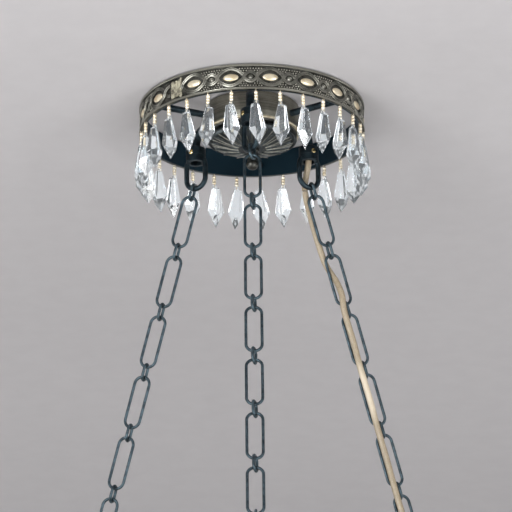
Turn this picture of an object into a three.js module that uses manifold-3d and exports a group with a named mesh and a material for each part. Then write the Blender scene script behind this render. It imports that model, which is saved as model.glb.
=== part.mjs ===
import * as THREE from "three";
import { mergeVertices } from "three/addons/utils/BufferGeometryUtils.js";
import Module from "manifold-3d";

// Pendant lamp: a ceiling crown, three splayed chains, and a ring lamp with a glass bowl.
// Millimetres, +Z up. The ceiling is at z = 0 and the lamp's axis is the Z axis.

const wasm = await Module();
wasm.setup();

// Clearances that neighbouring pieces share
const seatGap = 0.3;
const holeClearance = 0.5;
const screwClearance = 0.2;

// Ring bands, one on the ceiling and one round the lamp
const bandHeight = 31.2;
const bandDepth = 5.2;
const bandRimDepth = 2.6;
const bandRimHeight = 4.5;
const bandRimSlope = 1.5;
const crownRadius = 130;
const crownTopZ = -0.4;
const lampRadius = 246;
const flangeWidth = 18;
const flangeThickness = 2.5;

// Ceiling plate, rod, cup, rosette and finial on the crown's axis
const plateRadius = 47;
const plateThickness = 3;
const plateSlotOffset = 34;
const plateSlotWidth = 5;
const plateSlotLength = 14;
const rodRadius = 5;
const rodEndZ = -67;
const cupRadius = 54.5;
const cupWall = 1.4;
const cupTopZ = -0.8;
const cupFloorZ = -32.6;
const cupStepRadius = 46;
const rosetteRadius = 51.5;
const rosetteTopZ = -38.2;
const rosetteEdge = 2.4;
const rosetteDepth = 10;
const rosetteBulge = 1.4;
const rosetteWall = 2;
const rosetteHubRadius = 14.5;
const finialWall = 1.5;
const finialCollarWall = 3.1;
const finialTipRadius = 3.6;
const finialLength = 24.9;

// Bars that carry the crown band
const barRadius = 4;
const barBelowStems = 0.8;
const barAzimuths = [87, 207, 327];
const barHubRadius = 13;
const barHubHeight = 8;

// Terminal block inside the cup
const blockLength = 26;
const blockWidth = 13;
const blockHeight = 11;
const blockGapToRod = 1.5;
const blockGapToPlate = 0.05;

// Hooks: a hollow stem, a collar with a set screw, and a thick loop
const stemRadius = 5.25;
const stemBoreRadius = 4.4;
const stemBendRadius = 20;
const stemInnerRadius = 28;
const stemInCollar = 8;
const collarRadius = 10.25;
const collarHeight = 18;
const collarBoreRadius = 6.75;
const collarNeckHeight = 8.6;
const collarNeckGap = 0.6;
const loopWidth = 31;
const loopWire = 6;
const lampLoopWire = 5.6;
const loopShoulder = 7;
const loopRootRadius = 9;
const loopRootDepth = 3.4;
const collarToArc = 19.2;
const screwHeadRadius = 2.7;
const screwShankRadius = 1.8;
const screwHeadHeight = 1.3;
const screwAboveRim = 10.6;
const screwHeadSink = 0.6;
const collarChamfer = 1;
const studInset = 0.4;
const studBelowArm = 6;
const frontLoopTwist = 38;
const frontEyeTwist = 90;
const frontGapPerLean = 1.36036;

// Chains: long links joined by small rings
const chainTopRadius = 80.3;
const chainTopZ = -87;
const lampEyeInset = 11.3;
const linkLength = 64.3;
const linkWidth = 21;
const linkWire = 3.4;
const ringLength = 22.2;
const ringWidth = 15;
const ringWire = 3.4;
const linkSlack = 0.3;
const linkNip = 0.2;
const pitches = 7;
const sideLinkTurn = 14;
const frontRingTurn = 30;
const lampSeatGap = 1.1;

// Crystal drops on beaded pins
const crownDropCount = 29;
const firstDropAzimuth = 272.2;
const lampDropCount = 52;
const dropWire = 1.2;
const beadRadius = 2.1;
const beadEnd = 12.6;
const crystalTop = 15.6;
const crystalTopRadius = 4.6;
const crystalWaist = 47.5;
const crystalRadius = 9.2;
const crystalTip = 67.6;

// Lamp: hub with three arms, three lampholders with bulbs, a glass bowl and its cap
const armWidth = 16;
const armThickness = 3;
const hubRadius = 30;
const hubAboveArms = 13;
const hubBelowArms = 36;
const hubChamfer = 3;
const armInHub = 4;
const studRadius = 5;
const holderRadius = 18;
const holderLength = 42;
const holderBoreRadius = 14;
const holderBelowArms = 18;
const holderShoulder = 6;
const bulbBaseRadius = 12.8;
const bulbBaseLength = 24;
const bulbRadius = 30;
const bulbLength = 84;
const bowlInset = 24;
const bowlBelowArms = 4;
const bowlDepth = 102;
const bowlWall = 4;
const bowlHoleGap = 1.5;
const capRadius = 17;
const capNeckWall = 1.5;
const capTipRadius = 4;
const capHeight = 16;

// Supply cable: it leaves the right hook and follows the right chain down to the hub
const cableRadius = 3.6;
const cableHoleDepth = 6;
const hookCable = [
  [0, 0, 25],
  [0, 1.2, 16],
  [-0.6, 4.9, 4],
  [-1.3, 7.1, -6],
  [-1.2, 7.7, -14.1],
];
const chainCablePitch = 72.8;
const chainCable = [
  [-2.2, -7.3, -6.2],
  [9, -8.4, -6.2],
  [21, -9.1, -5.9],
  [40, -9.3, -5.8],
  [59, -9.1, -5.9],
  [73, -8.6, -6],
  [86, -7.5, -6],
  [97, -5.2, -4.6],
  [109, -2.9, -0.4],
  [121, -2.7, 4.2],
  [131, -3.5, 6.7],
  [139, -5, 6.9],
  [147, -5.8, 6.4],
  [160, -5.7, 6],
  [182, -5, 5.5],
  [206, -5.6, 5.9],
  [219, -5.8, 6.1],
  [255, -4.9, 5.5],
  [291, -5.8, 6.1],
  [328, -5.1, 5.4],
  [364, -5.8, 6.1],
  [401, -5, 5.5],
  [437, -5.8, 6.1],
  [470, -5.6, 5.9],
  [497, -6, 6.5],
];
const lampCable = [
  [219.9, -4.9, 64.6],
  [221, -6.6, 54],
  [221.9, -7.9, 39],
  [220.4, -7.6, 26],
  [214.6, -6.3, 14.2],
  [205, -4.4, 7],
  [192, -2.2, 4.5],
  [172, -0.6, 4.1],
  [140, 0, 4.1],
  [90, 0, 4.1],
  [40, 0, 4.1],
];

// Facets: sides round a section, and segments round a lathe
const wireSides = 4;
const ovalArcSteps = 4;
const dropSides = 4;
const loopSides = 6;
const tubeSides = 8;
const bandSegments = 40;
const lampSegments = 48;
const turnedSegments = 28;
const smallSegments = 10;

const palette = {
  ceilingSteel: { color: 0x8c8d8a, roughness: 0.5, metalness: 0.9 },
  antiqueBrass: { color: 0x6b6450, roughness: 0.42, metalness: 0.9 },
  brushedBrass: { color: 0x75694f, roughness: 0.38, metalness: 0.95 },
  blackenedSteel: { color: 0x1d272b, roughness: 0.45, metalness: 0.7 },
  chainSteel: { color: 0x38444a, roughness: 0.48, metalness: 0.75 },
  polishedBrass: { color: 0xd8c38a, roughness: 0.22, metalness: 1 },
  crystal: { color: 0xeef3f4, roughness: 0.05, metalness: 0 },
  cable: { color: 0xb6a98e, roughness: 0.4, metalness: 0 },
  blockPlastic: { color: 0xe4e0d4, roughness: 0.6, metalness: 0 },
  holderPlastic: { color: 0x23211f, roughness: 0.5, metalness: 0 },
  bulbGlass: { color: 0xf6f2e6, roughness: 0.3, metalness: 0 },
  frostedGlass: { color: 0xf3ece0, roughness: 0.45, metalness: 0 },
};

const materials = {};
for (const [name, values] of Object.entries(palette)) {
  materials[name] = new THREE.MeshStandardMaterial({ name, ...values });
}

const lampGroup = new THREE.Group();
const up = new THREE.Vector3(0, 0, 1);

function addPart(name, shape, material) {
  const geometry = shape.isBufferGeometry ? shape : toGeometry(shape);
  const mesh = new THREE.Mesh(geometry, materials[material]);
  mesh.name = name;
  lampGroup.add(mesh);
  return mesh;
}

// A closed geometry as a solid that can be joined and cut, and back again
function toSolid(geometry) {
  const plain = new THREE.BufferGeometry();
  plain.setAttribute("position", geometry.getAttribute("position"));
  plain.setIndex(geometry.index);
  const merged = mergeVertices(plain, 1e-4);
  const triVerts = new Uint32Array(merged.index.array);
  const vertProperties = merged.attributes.position.array;
  return new wasm.Manifold(new wasm.Mesh({ numProp: 3, vertProperties, triVerts }));
}

function toGeometry(solid) {
  const mesh = solid.getMesh();
  const geometry = new THREE.BufferGeometry();
  geometry.setAttribute("position", new THREE.BufferAttribute(mesh.vertProperties, 3));
  geometry.setIndex(new THREE.BufferAttribute(mesh.triVerts, 1));
  geometry.computeVertexNormals();
  return geometry;
}

// A curve that keeps every station it is given, so that bends get the sections and bars don't
class Stations extends THREE.Curve {
  constructor(points, closed = false) {
    super();
    this.points = points;
    this.spans = closed ? points.length : points.length - 1;
    this.closed = closed;
  }

  station(index) {
    const count = this.points.length;
    return this.points[this.closed ? (index + count) % count : index];
  }

  getPoint(t, target = new THREE.Vector3()) {
    const span = Math.min(Math.floor(t * this.spans + 1e-6), this.spans - 1);
    return target.lerpVectors(this.station(span), this.station(span + 1), t * this.spans - span);
  }

  getPointAt(t, target) {
    return this.getPoint(t, target);
  }

  getTangent(t, target = new THREE.Vector3()) {
    const index = Math.round(t * this.spans);
    const here = this.station(this.closed ? index : Math.min(index, this.spans));
    const hasBefore = this.closed || index > 0;
    const hasAfter = this.closed || index < this.spans;
    target.set(0, 0, 0);
    if (hasBefore) {
      target.add(here.clone().sub(this.station(index - 1)).normalize());
    }
    if (hasAfter) {
      target.add(this.station(index + 1).clone().sub(here).normalize());
    }
    return target.normalize();
  }

  getTangentAt(t, target) {
    return this.getTangent(t, target);
  }
}

function polygon(radius, sides) {
  const corners = [];
  for (let i = 0; i < sides; i += 1) {
    const angle = ((i + 0.5) * 2 * Math.PI) / sides;
    corners.push(new THREE.Vector2(radius * Math.cos(angle), radius * Math.sin(angle)));
  }
  return corners;
}

// A round wire along open stations, or a tube where boreRadius is given
function wire(points, radius, sides, boreRadius = 0) {
  const section = new THREE.Shape(polygon(radius, sides));
  if (boreRadius > 0) {
    section.holes.push(new THREE.Path(polygon(boreRadius, sides)));
  }
  const path = new Stations(points);
  return new THREE.ExtrudeGeometry(section, { extrudePath: path, steps: path.spans });
}

function closedWire(points, radius, sides) {
  const path = new Stations(points, true);
  return new THREE.TubeGeometry(path, path.spans, radius, sides, true);
}

// A turned piece about the Z axis from [radius, z] pairs, which close on themselves or end on the axis
function turned(profile, segments) {
  const points = profile.map(([radius, z]) => new THREE.Vector2(radius, z));
  const onAxis = points[0].x === 0 && points[points.length - 1].x === 0;
  if (THREE.ShapeUtils.area(points) < 0) {
    points.reverse();
  }
  if (!onAxis) {
    points.push(points[0].clone());
  }
  return new THREE.LatheGeometry(points, segments).rotateX(Math.PI / 2);
}

// A turned wall is nearest to the axis at the middle of its facets
function facetRadius(radius, segments) {
  return radius * Math.cos(Math.PI / segments);
}

// The corner radius of a small turned bore that clears a pin all round
function boreRound(pinRadius, clearance) {
  return (pinRadius + clearance) / Math.cos(Math.PI / smallSegments);
}

function cylinderZ(radius, bottomZ, topZ, segments) {
  const profile = [[0, bottomZ], [radius, bottomZ], [radius, topZ], [0, topZ]];
  return turned(profile, segments);
}

// A cylinder between two points
function rodBetween(start, end, radius, segments) {
  const along = end.clone().sub(start);
  const geometry = cylinderZ(radius, 0, along.length(), segments);
  geometry.applyQuaternion(new THREE.Quaternion().setFromUnitVectors(up, along.normalize()));
  return geometry.translate(start.x, start.y, start.z);
}

function polar(radius, azimuth, z) {
  const angle = THREE.MathUtils.degToRad(azimuth);
  return new THREE.Vector3(radius * Math.cos(angle), radius * Math.sin(angle), z);
}

function moved(point, ...steps) {
  const result = point.clone();
  for (const [direction, distance] of steps) {
    result.addScaledVector(direction, distance);
  }
  return result;
}

// Where each chain hangs: its direction, its own three axes and the centre of its first ring
function chainLayout({ name, azimuth, linkTurn, ringTurn, loopTwist, eyeTwist, gapPerLean, screwSide }) {
  const radial = polar(1, azimuth, 0);
  const tangent = new THREE.Vector3().crossVectors(up, radial);
  const tilt = Math.asin((lampRadius - lampEyeInset - chainTopRadius) / (pitches * pitch + loopWidth / 2));
  const along = radial.clone().multiplyScalar(Math.sin(tilt)).addScaledVector(up, -Math.cos(tilt));
  const outward = radial.clone().multiplyScalar(Math.cos(tilt)).addScaledVector(up, Math.sin(tilt));
  const turn = THREE.MathUtils.degToRad(linkTurn);
  const across = outward.clone().multiplyScalar(Math.cos(turn)).addScaledVector(tangent, Math.sin(turn));
  const front = new THREE.Vector3().crossVectors(along, across);
  const firstRing = polar(chainTopRadius, azimuth, chainTopZ);
  const axes = { radial, tangent, along, outward, across, front };
  const layout = { name, azimuth, ...axes, firstRing, ringTurn, screwSide };
  const hookGap = linkSlack + gapPerLean * Math.sin(tilt);
  layout.hook = loopSeat(layout, firstRing, -1, loopTwist, loopWire, hookGap);
  const lastRing = moved(firstRing, [along, pitches * pitch]);
  layout.eye = loopSeat(layout, lastRing, 1, eyeTwist, lampLoopWire, lampSeatGap);
  return layout;
}

// The centre of a loop's arc, such that the loop's wire lies in the ring's end with the stated gap
function loopSeat(layout, ringCentre, side, twist, wireSize, gap) {
  const angle = THREE.MathUtils.degToRad(twist);
  const plane = layout.radial.clone().multiplyScalar(Math.cos(angle));
  plane.addScaledVector(layout.tangent, Math.sin(angle));
  const pull = plane.clone().multiplyScalar(plane.dot(layout.along));
  pull.addScaledVector(up, up.dot(layout.along)).normalize();
  const arc = (loopWidth - wireSize) / 2;
  const ringReach = ringLength / 2 - ringWire - gap;
  const centre = moved(ringCentre, [layout.along, side * ringReach], [pull, side * (arc - wireSize / 2)]);
  return { centre, plane, normal: new THREE.Vector3().crossVectors(plane, up), wireSize };
}

const linkInside = linkLength - 2 * linkWire;
const ringInside = ringLength - 2 * ringWire;
const pitch = linkInside + ringInside - linkSlack + linkNip;

const sideChain = { ringTurn: 90, loopTwist: 0, eyeTwist: 0, gapPerLean: 0 };
const chains = [
  chainLayout({
    name: "front",
    azimuth: 270,
    linkTurn: 90,
    ringTurn: frontRingTurn,
    loopTwist: frontLoopTwist,
    eyeTwist: frontEyeTwist,
    gapPerLean: frontGapPerLean,
    screwSide: -1,
  }),
  chainLayout({ ...sideChain, name: "left", azimuth: 150, linkTurn: sideLinkTurn, screwSide: 1 }),
  chainLayout({ ...sideChain, name: "right", azimuth: 30, linkTurn: -sideLinkTurn, screwSide: -1 }),
];
const rightChain = chains[2];

// Crown pieces on the axis

function bandProfile(radius, topZ) {
  const bottomZ = topZ - bandHeight;
  const face = radius - bandRimDepth;
  const slope = bandRimHeight + bandRimSlope;
  return [
    [radius - bandDepth, bottomZ],
    [radius, bottomZ],
    [radius, bottomZ + bandRimHeight],
    [face, bottomZ + slope],
    [face, topZ - slope],
    [radius, topZ - bandRimHeight],
    [radius, topZ],
  ];
}

function crownBand() {
  const profile = bandProfile(crownRadius, crownTopZ);
  profile.push([crownRadius - bandDepth, crownTopZ]);
  return turned(profile, bandSegments);
}

function ceilingPlate() {
  let plate = toSolid(cylinderZ(plateRadius, -plateThickness, 0, turnedSegments));
  const throughPlate = 4 * plateThickness;
  const slot = new THREE.BoxGeometry(plateSlotLength, plateSlotWidth, throughPlate);
  for (const side of [-1, 1]) {
    plate = plate.subtract(toSolid(slot.clone().translate(side * plateSlotOffset, 0, 0)));
  }
  const bore = cylinderZ(rodRadius + holeClearance, -2 * plateThickness, plateThickness, smallSegments);
  return plate.subtract(toSolid(bore));
}

function threadedRod() {
  return cylinderZ(rodRadius, rodEndZ, 0, smallSegments);
}

function canopyCup() {
  const bore = rodRadius + holeClearance;
  const inner = cupRadius - cupWall;
  const stepInner = cupStepRadius - cupWall;
  const stepFloorZ = rosetteTopZ + seatGap;
  let cup = toSolid(turned([
    [cupRadius, cupTopZ],
    [cupRadius, cupFloorZ],
    [cupStepRadius, cupFloorZ],
    [cupStepRadius, stepFloorZ],
    [bore, stepFloorZ],
    [bore, stepFloorZ + cupWall],
    [stepInner, stepFloorZ + cupWall],
    [stepInner, cupFloorZ + cupWall],
    [inner, cupFloorZ + cupWall],
    [inner, cupTopZ],
  ], turnedSegments));
  for (const chain of chains) {
    const notch = stemRadius + holeClearance;
    const start = polar(cupStepRadius, stemAzimuth(chain), stemZ);
    const end = polar(cupRadius + cupWall, stemAzimuth(chain), stemZ);
    cup = cup.subtract(toSolid(rodBetween(start, end, notch, smallSegments)));
    const slot = new THREE.BoxGeometry(end.distanceTo(start), 2 * notch, -stemZ);
    slot.rotateZ(THREE.MathUtils.degToRad(stemAzimuth(chain)));
    const middle = start.clone().lerp(end, 0.5);
    cup = cup.subtract(toSolid(slot.translate(middle.x, middle.y, stemZ / 2)));
  }
  for (const azimuth of barAzimuths) {
    const start = polar(cupStepRadius, azimuth, barZ);
    const end = polar(cupRadius + cupWall, azimuth, barZ);
    cup = cup.subtract(toSolid(rodBetween(start, end, barRadius + holeClearance, smallSegments)));
  }
  return cup;
}

function rosette() {
  const bore = rodRadius + holeClearance;
  const edgeZ = rosetteTopZ - rosetteEdge;
  const deepZ = edgeZ - rosetteDepth;
  const dome = [[bore, deepZ], [rosetteHubRadius, deepZ]];
  const steps = 4;
  for (let i = 1; i <= steps; i += 1) {
    const share = i / steps;
    const radius = rosetteHubRadius + (rosetteRadius - rosetteHubRadius) * share;
    dome.push([radius, deepZ + rosetteDepth * share ** rosetteBulge]);
  }
  const top = [
    [rosetteRadius, rosetteTopZ],
    [rosetteRadius - rosetteWall, rosetteTopZ],
    [rosetteHubRadius + rosetteWall, deepZ + 2 * rosetteWall],
    [bore, deepZ + rosetteWall],
  ];
  return turned([...dome, ...top], turnedSegments);
}

function finial() {
  const topZ = rosetteTopZ - rosetteEdge - rosetteDepth - seatGap;
  const bore = boreRound(rodRadius, screwClearance);
  const boreTopZ = rodEndZ - seatGap;
  return turned([
    [bore, topZ],
    [bore, boreTopZ],
    [0, boreTopZ],
    [0, topZ - finialLength],
    [finialTipRadius, topZ - finialLength],
    [rodRadius + finialWall, topZ - finialLength * 0.7],
    [rodRadius + finialWall, topZ - finialLength * 0.45],
    [rodRadius + finialCollarWall, topZ - finialLength * 0.2],
    [rodRadius + finialCollarWall, topZ],
  ], smallSegments);
}

function ringSpider() {
  const hub = turned([
    [rodRadius + holeClearance, barZ - barHubHeight / 2],
    [barHubRadius, barZ - barHubHeight / 2],
    [barHubRadius, barZ + barHubHeight / 2],
    [rodRadius + holeClearance, barZ + barHubHeight / 2],
  ], smallSegments);
  let spider = toSolid(hub);
  for (const azimuth of barAzimuths) {
    const start = polar(barHubRadius - 2, azimuth, barZ);
    const end = polar(barEnd, azimuth, barZ);
    spider = spider.add(toSolid(rodBetween(start, end, barRadius, tubeSides)));
  }
  return spider;
}

function terminalBlock() {
  const height = -(plateThickness + blockGapToPlate + blockHeight / 2);
  const centre = polar(rodRadius + blockGapToRod + blockWidth / 2, rightChain.azimuth, height);
  const block = new THREE.BoxGeometry(blockWidth, blockLength, blockHeight);
  block.rotateZ(THREE.MathUtils.degToRad(rightChain.azimuth));
  return block.translate(centre.x, centre.y, centre.z);
}

// Hooks

const stemZ = -(plateThickness + seatGap + stemRadius);
const barZ = stemZ - stemRadius - barBelowStems - barRadius;
const barEnd = facetRadius(crownRadius - bandDepth, bandSegments) - seatGap;

function stemAzimuth(chain) {
  return THREE.MathUtils.radToDeg(Math.atan2(chain.hook.centre.y, chain.hook.centre.x));
}

// The stem's centre line: out from under the ceiling plate, round the bend and down into the collar
function stemStations(chain) {
  const azimuth = stemAzimuth(chain);
  const reach = Math.hypot(chain.hook.centre.x, chain.hook.centre.y);
  const stations = [polar(stemInnerRadius, azimuth, stemZ)];
  const steps = 5;
  for (let i = 0; i <= steps; i += 1) {
    const angle = (i / steps) * (Math.PI / 2);
    const radius = reach - stemBendRadius * (1 - Math.sin(angle));
    stations.push(polar(radius, azimuth, stemZ - stemBendRadius * (1 - Math.cos(angle))));
  }
  const collarTopZ = chain.hook.centre.z + collarToArc + collarHeight;
  stations.push(polar(reach, azimuth, collarTopZ - stemInCollar));
  return stations;
}

// A collar with its loop, about the loop's arc centre, with the loop hanging down
function collarAndLoop(wireSize, neckRadius, height) {
  const rimZ = collarToArc;
  const topZ = rimZ + height;
  const neckZ = topZ - collarNeckHeight;
  const collar = turned([
    [collarBoreRadius, rimZ],
    [collarRadius, rimZ],
    [collarRadius, topZ - collarChamfer],
    [collarRadius - collarChamfer, topZ],
    [neckRadius, topZ],
    [neckRadius, neckZ],
    [collarBoreRadius, neckZ],
  ], smallSegments);
  const arc = (loopWidth - wireSize) / 2;
  const right = [];
  const rootZ = rimZ + loopRootDepth;
  const shoulderZ = rimZ - loopShoulder;
  const steps = 2;
  for (let i = 0; i < steps; i += 1) {
    const angle = (i / steps) * (Math.PI / 2);
    const across = loopRootRadius + (arc - loopRootRadius) * Math.sin(angle);
    right.push([across, shoulderZ + (rootZ - shoulderZ) * Math.cos(angle)]);
  }
  const bottom = [];
  const arcSteps = 6;
  for (let i = 0; i <= arcSteps; i += 1) {
    const angle = (i / arcSteps) * Math.PI;
    bottom.push([arc * Math.cos(angle), -arc * Math.sin(angle)]);
  }
  const left = right.map(([across, z]) => [-across, z]).reverse();
  const stations = [...right, ...bottom, ...left].map(([across, z]) => new THREE.Vector3(across, 0, z));
  return toSolid(collar).add(toSolid(wire(stations, wireSize / 2, loopSides)));
}

function screwSeat(side, clearance) {
  const height = collarToArc + screwAboveRim;
  const headSeat = collarRadius - screwHeadSink;
  const inside = new THREE.Vector3(0, side * (stemRadius + seatGap), height);
  const outside = new THREE.Vector3(0, side * headSeat, height);
  const tip = new THREE.Vector3(0, side * (headSeat + screwHeadHeight), height);
  const shank = toSolid(rodBetween(inside, outside, screwShankRadius + clearance, tubeSides));
  const head = toSolid(rodBetween(outside, tip, screwHeadRadius + clearance, tubeSides));
  return { shank, head };
}

// Turns a piece from the loop's own frame, X in the loop's plane and Z up, to its place
function placeLoop(solid, seat, upsideDown) {
  const x = seat.plane.clone();
  const z = up.clone().multiplyScalar(upsideDown ? -1 : 1);
  const y = new THREE.Vector3().crossVectors(z, x);
  const matrix = new THREE.Matrix4().makeBasis(x, y, z).setPosition(seat.centre);
  return toGeometry(solid).applyMatrix4(matrix);
}

function hookEye(chain) {
  const seat = screwSeat(chain.screwSide, screwClearance);
  const body = collarAndLoop(chain.hook.wireSize, stemRadius + collarNeckGap, collarHeight);
  return placeLoop(body.subtract(seat.shank).subtract(seat.head), chain.hook, false);
}

function setScrew(chain) {
  const seat = screwSeat(chain.screwSide, 0);
  return placeLoop(seat.shank.add(seat.head), chain.hook, false);
}

// The lamp's eye stands on the ring's flange, with a stud down through the flange and the arm
function lampEye(chain) {
  const height = collarHeight + chain.eye.centre.z - lowestEyeZ;
  const topZ = collarToArc + height;
  const studEnd = topZ + seatGap + flangeThickness + seatGap + armThickness + studBelowArm;
  const stud = toSolid(cylinderZ(studRadius, topZ - collarNeckHeight, studEnd, tubeSides));
  const body = collarAndLoop(chain.eye.wireSize, studRadius - studInset, height).add(stud);
  return placeLoop(body, chain.eye, true);
}

// Chains

// The centre line of a link or ring with straight sides and round ends, long axis along Z
function ovalStations(length, width, wireSize) {
  const radius = (width - wireSize) / 2;
  const half = (length - width) / 2;
  const stations = [];
  for (const end of [1, -1]) {
    for (let i = 0; i <= ovalArcSteps; i += 1) {
      const angle = (i / ovalArcSteps) * Math.PI;
      const reach = half + radius * Math.sin(angle);
      stations.push(new THREE.Vector3(end * radius * Math.cos(angle), 0, end * reach));
    }
  }
  return stations;
}

function ovalShape(length, width, wireSize) {
  return toSolid(closedWire(ovalStations(length, width, wireSize), wireSize / 2, wireSides));
}

const linkShape = ovalShape(linkLength, linkWidth, linkWire);
const ringShape = ovalShape(ringLength, ringWidth, ringWire);

// A shape in its chain: X turns from the link's own plane about the chain, -Z runs down the chain
function onChain(solid, chain, centre, turnDegrees) {
  const z = chain.along.clone().multiplyScalar(-1);
  const x = chain.outward.clone().applyAxisAngle(chain.along, THREE.MathUtils.degToRad(turnDegrees));
  const y = new THREE.Vector3().crossVectors(z, x);
  const matrix = new THREE.Matrix4().makeBasis(x, y, z).setPosition(centre);
  return toSolid(toGeometry(solid).applyMatrix4(matrix));
}

function linkAngle(chain) {
  const cosine = chain.across.dot(chain.outward);
  const sine = new THREE.Vector3().crossVectors(chain.outward, chain.across).dot(chain.along);
  return THREE.MathUtils.radToDeg(Math.atan2(sine, cosine));
}

function ringCentre(chain, index) {
  return moved(chain.firstRing, [chain.along, index * pitch]);
}

function ringAt(chain, index, turn) {
  return onChain(ringShape, chain, ringCentre(chain, index), turn);
}

function linkAt(chain, index) {
  const reach = (ringInside + linkInside) / 2 - linkSlack;
  const centre = moved(ringCentre(chain, index - 1), [chain.along, reach]);
  return onChain(linkShape, chain, centre, linkAngle(chain));
}

function addChain(chain, lastRingAlone) {
  const turn = linkAngle(chain);
  const firstTurn = chain.ringTurn === 90 ? turn + 90 : chain.ringTurn;
  addPart(`${chain.name}_top_ring`, ringAt(chain, 0, firstTurn), "chainSteel");
  for (let index = 1; index <= pitches; index += 1) {
    const alone = lastRingAlone && index === pitches;
    const link = linkAt(chain, index);
    if (alone) {
      const endRing = onChain(ringShape, chain, endRingCentre(chain), turn + 90);
      addPart(`${chain.name}_link_${index}`, link, "chainSteel");
      addPart(`${chain.name}_end_ring`, endRing, "chainSteel");
    } else {
      addPart(`${chain.name}_link_${index}`, link.add(ringAt(chain, index, turn + 90)), "chainSteel");
    }
  }
}

// A ring that isn't joined to its link stands a slack away from it instead of a nip into it
function endRingCentre(chain) {
  return moved(ringCentre(chain, pitches), [chain.along, -linkNip - linkSlack]);
}

// Drops

// Drops under a band, on a thin hoop that stands in for the pins hooked through the band's lip
function dropsOnHoop(count, radiusOfBand, topZOfBand) {
  const radius = radiusOfBand - bandDepth / 2;
  const lipZ = topZOfBand - bandHeight;
  const hoopZ = lipZ - seatGap - dropWire / 2;
  const stations = [];
  for (let i = 0; i < count; i += 1) {
    stations.push(polar(radius, firstDropAzimuth + (i * 360) / count, hoopZ));
  }
  let hoop = toSolid(closedWire(stations, dropWire / 2, dropSides));
  const drop = turned([
    [0, hoopZ],
    [beadRadius, lipZ - beadEnd],
    [crystalTopRadius, lipZ - crystalTop],
    [crystalRadius, lipZ - crystalWaist],
    [0, lipZ - crystalTip],
  ], dropSides);
  for (let i = 0; i < count; i += 1) {
    const azimuth = firstDropAzimuth + (i * 360) / count;
    const place = polar(radius, azimuth, 0);
    const copy = drop.clone().rotateZ(THREE.MathUtils.degToRad(azimuth));
    hoop = hoop.add(toSolid(copy.translate(place.x, place.y, 0)));
  }
  return hoop;
}

// Lamp pieces

const lowestEyeZ = Math.min(...chains.map((chain) => chain.eye.centre.z));
const flangeTopZ = lowestEyeZ - collarToArc - collarHeight - seatGap;
const armTopZ = flangeTopZ - flangeThickness - seatGap;
const armBottomZ = armTopZ - armThickness;
const cableEndZ = armTopZ + lampCable.at(-1)[2];
const cableEnd = polar(hubRadius - cableHoleDepth + seatGap, rightChain.azimuth, cableEndZ);
const holderZ = armTopZ - holderBelowArms;
const holderAzimuths = chains.map((chain) => chain.azimuth + 60);

function lampBand() {
  const profile = bandProfile(lampRadius, flangeTopZ);
  profile.push([lampRadius - flangeWidth, flangeTopZ]);
  profile.push([lampRadius - flangeWidth, flangeTopZ - flangeThickness]);
  profile.push([lampRadius - bandDepth, flangeTopZ - flangeThickness]);
  let band = toSolid(turned(profile, lampSegments));
  for (const chain of chains) {
    band = band.subtract(studHole(chain));
  }
  return band;
}

function studHole(chain) {
  const hole = cylinderZ(studRadius + holeClearance, armBottomZ - 1, flangeTopZ + 1, smallSegments);
  return toSolid(hole.translate(chain.eye.centre.x, chain.eye.centre.y, 0));
}

function lampSpider() {
  const hubTopZ = armTopZ + hubAboveArms;
  const hubBottomZ = armTopZ - hubBelowArms;
  const studEndZ = bowlBottomZ - capHeight / 2;
  let spider = toSolid(turned([
    [0, studEndZ],
    [studRadius, studEndZ],
    [studRadius, hubBottomZ],
    [hubRadius - hubChamfer, hubBottomZ],
    [hubRadius, hubBottomZ + hubChamfer],
    [hubRadius, hubTopZ - hubChamfer],
    [hubRadius - hubChamfer, hubTopZ],
    [0, hubTopZ],
  ], turnedSegments));
  for (const chain of chains) {
    const wall = facetRadius(lampRadius - bandDepth, lampSegments) - seatGap;
    const reach = Math.sqrt(wall ** 2 - (armWidth / 2) ** 2);
    const start = hubRadius - armInHub;
    const arm = new THREE.BoxGeometry(reach - start, armWidth, armThickness);
    arm.translate((reach + start) / 2, 0, (armTopZ + armBottomZ) / 2);
    arm.rotateZ(THREE.MathUtils.degToRad(chain.azimuth));
    spider = spider.add(toSolid(arm)).subtract(studHole(chain));
  }
  const holeStart = moved(cableEnd, [rightChain.radial, -seatGap]);
  const holeEnd = moved(cableEnd, [rightChain.radial, cableHoleDepth]);
  const hole = rodBetween(holeStart, holeEnd, cableRadius + holeClearance, smallSegments);
  return spider.subtract(toSolid(hole));
}

// Pieces that point out of the hub are turned about Z, then laid along their azimuth
function pointOut(geometry, azimuth) {
  geometry.rotateY(Math.PI / 2);
  geometry.rotateZ(THREE.MathUtils.degToRad(azimuth));
  return geometry.translate(0, 0, holderZ);
}

function lampHolder(azimuth) {
  const start = hubRadius + seatGap;
  const end = start + holderLength;
  const floor = end - bulbBaseLength - seatGap;
  return pointOut(turned([
    [0, start],
    [holderBoreRadius, start],
    [holderRadius, start + holderShoulder],
    [holderRadius, end],
    [holderBoreRadius, end],
    [holderBoreRadius, floor],
    [0, floor],
  ], smallSegments), azimuth);
}

function bulb(azimuth) {
  const start = hubRadius + seatGap + holderLength - bulbBaseLength;
  const neck = start + bulbBaseLength + seatGap;
  const profile = [[0, start], [bulbBaseRadius, start], [bulbBaseRadius, neck]];
  const middle = neck + bulbLength - bulbRadius;
  for (let i = 0; i < 4; i += 1) {
    const angle = -Math.PI / 6 + (i / 4) * ((2 * Math.PI) / 3);
    profile.push([bulbRadius * Math.cos(angle), middle + bulbRadius * Math.sin(angle)]);
  }
  profile.push([0, middle + bulbRadius]);
  return pointOut(turned(profile, smallSegments), azimuth);
}

const bowlRadius = lampRadius - bowlInset;
const bowlRimZ = armBottomZ - bowlBelowArms;
const bowlBottomZ = bowlRimZ - bowlDepth;

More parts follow.
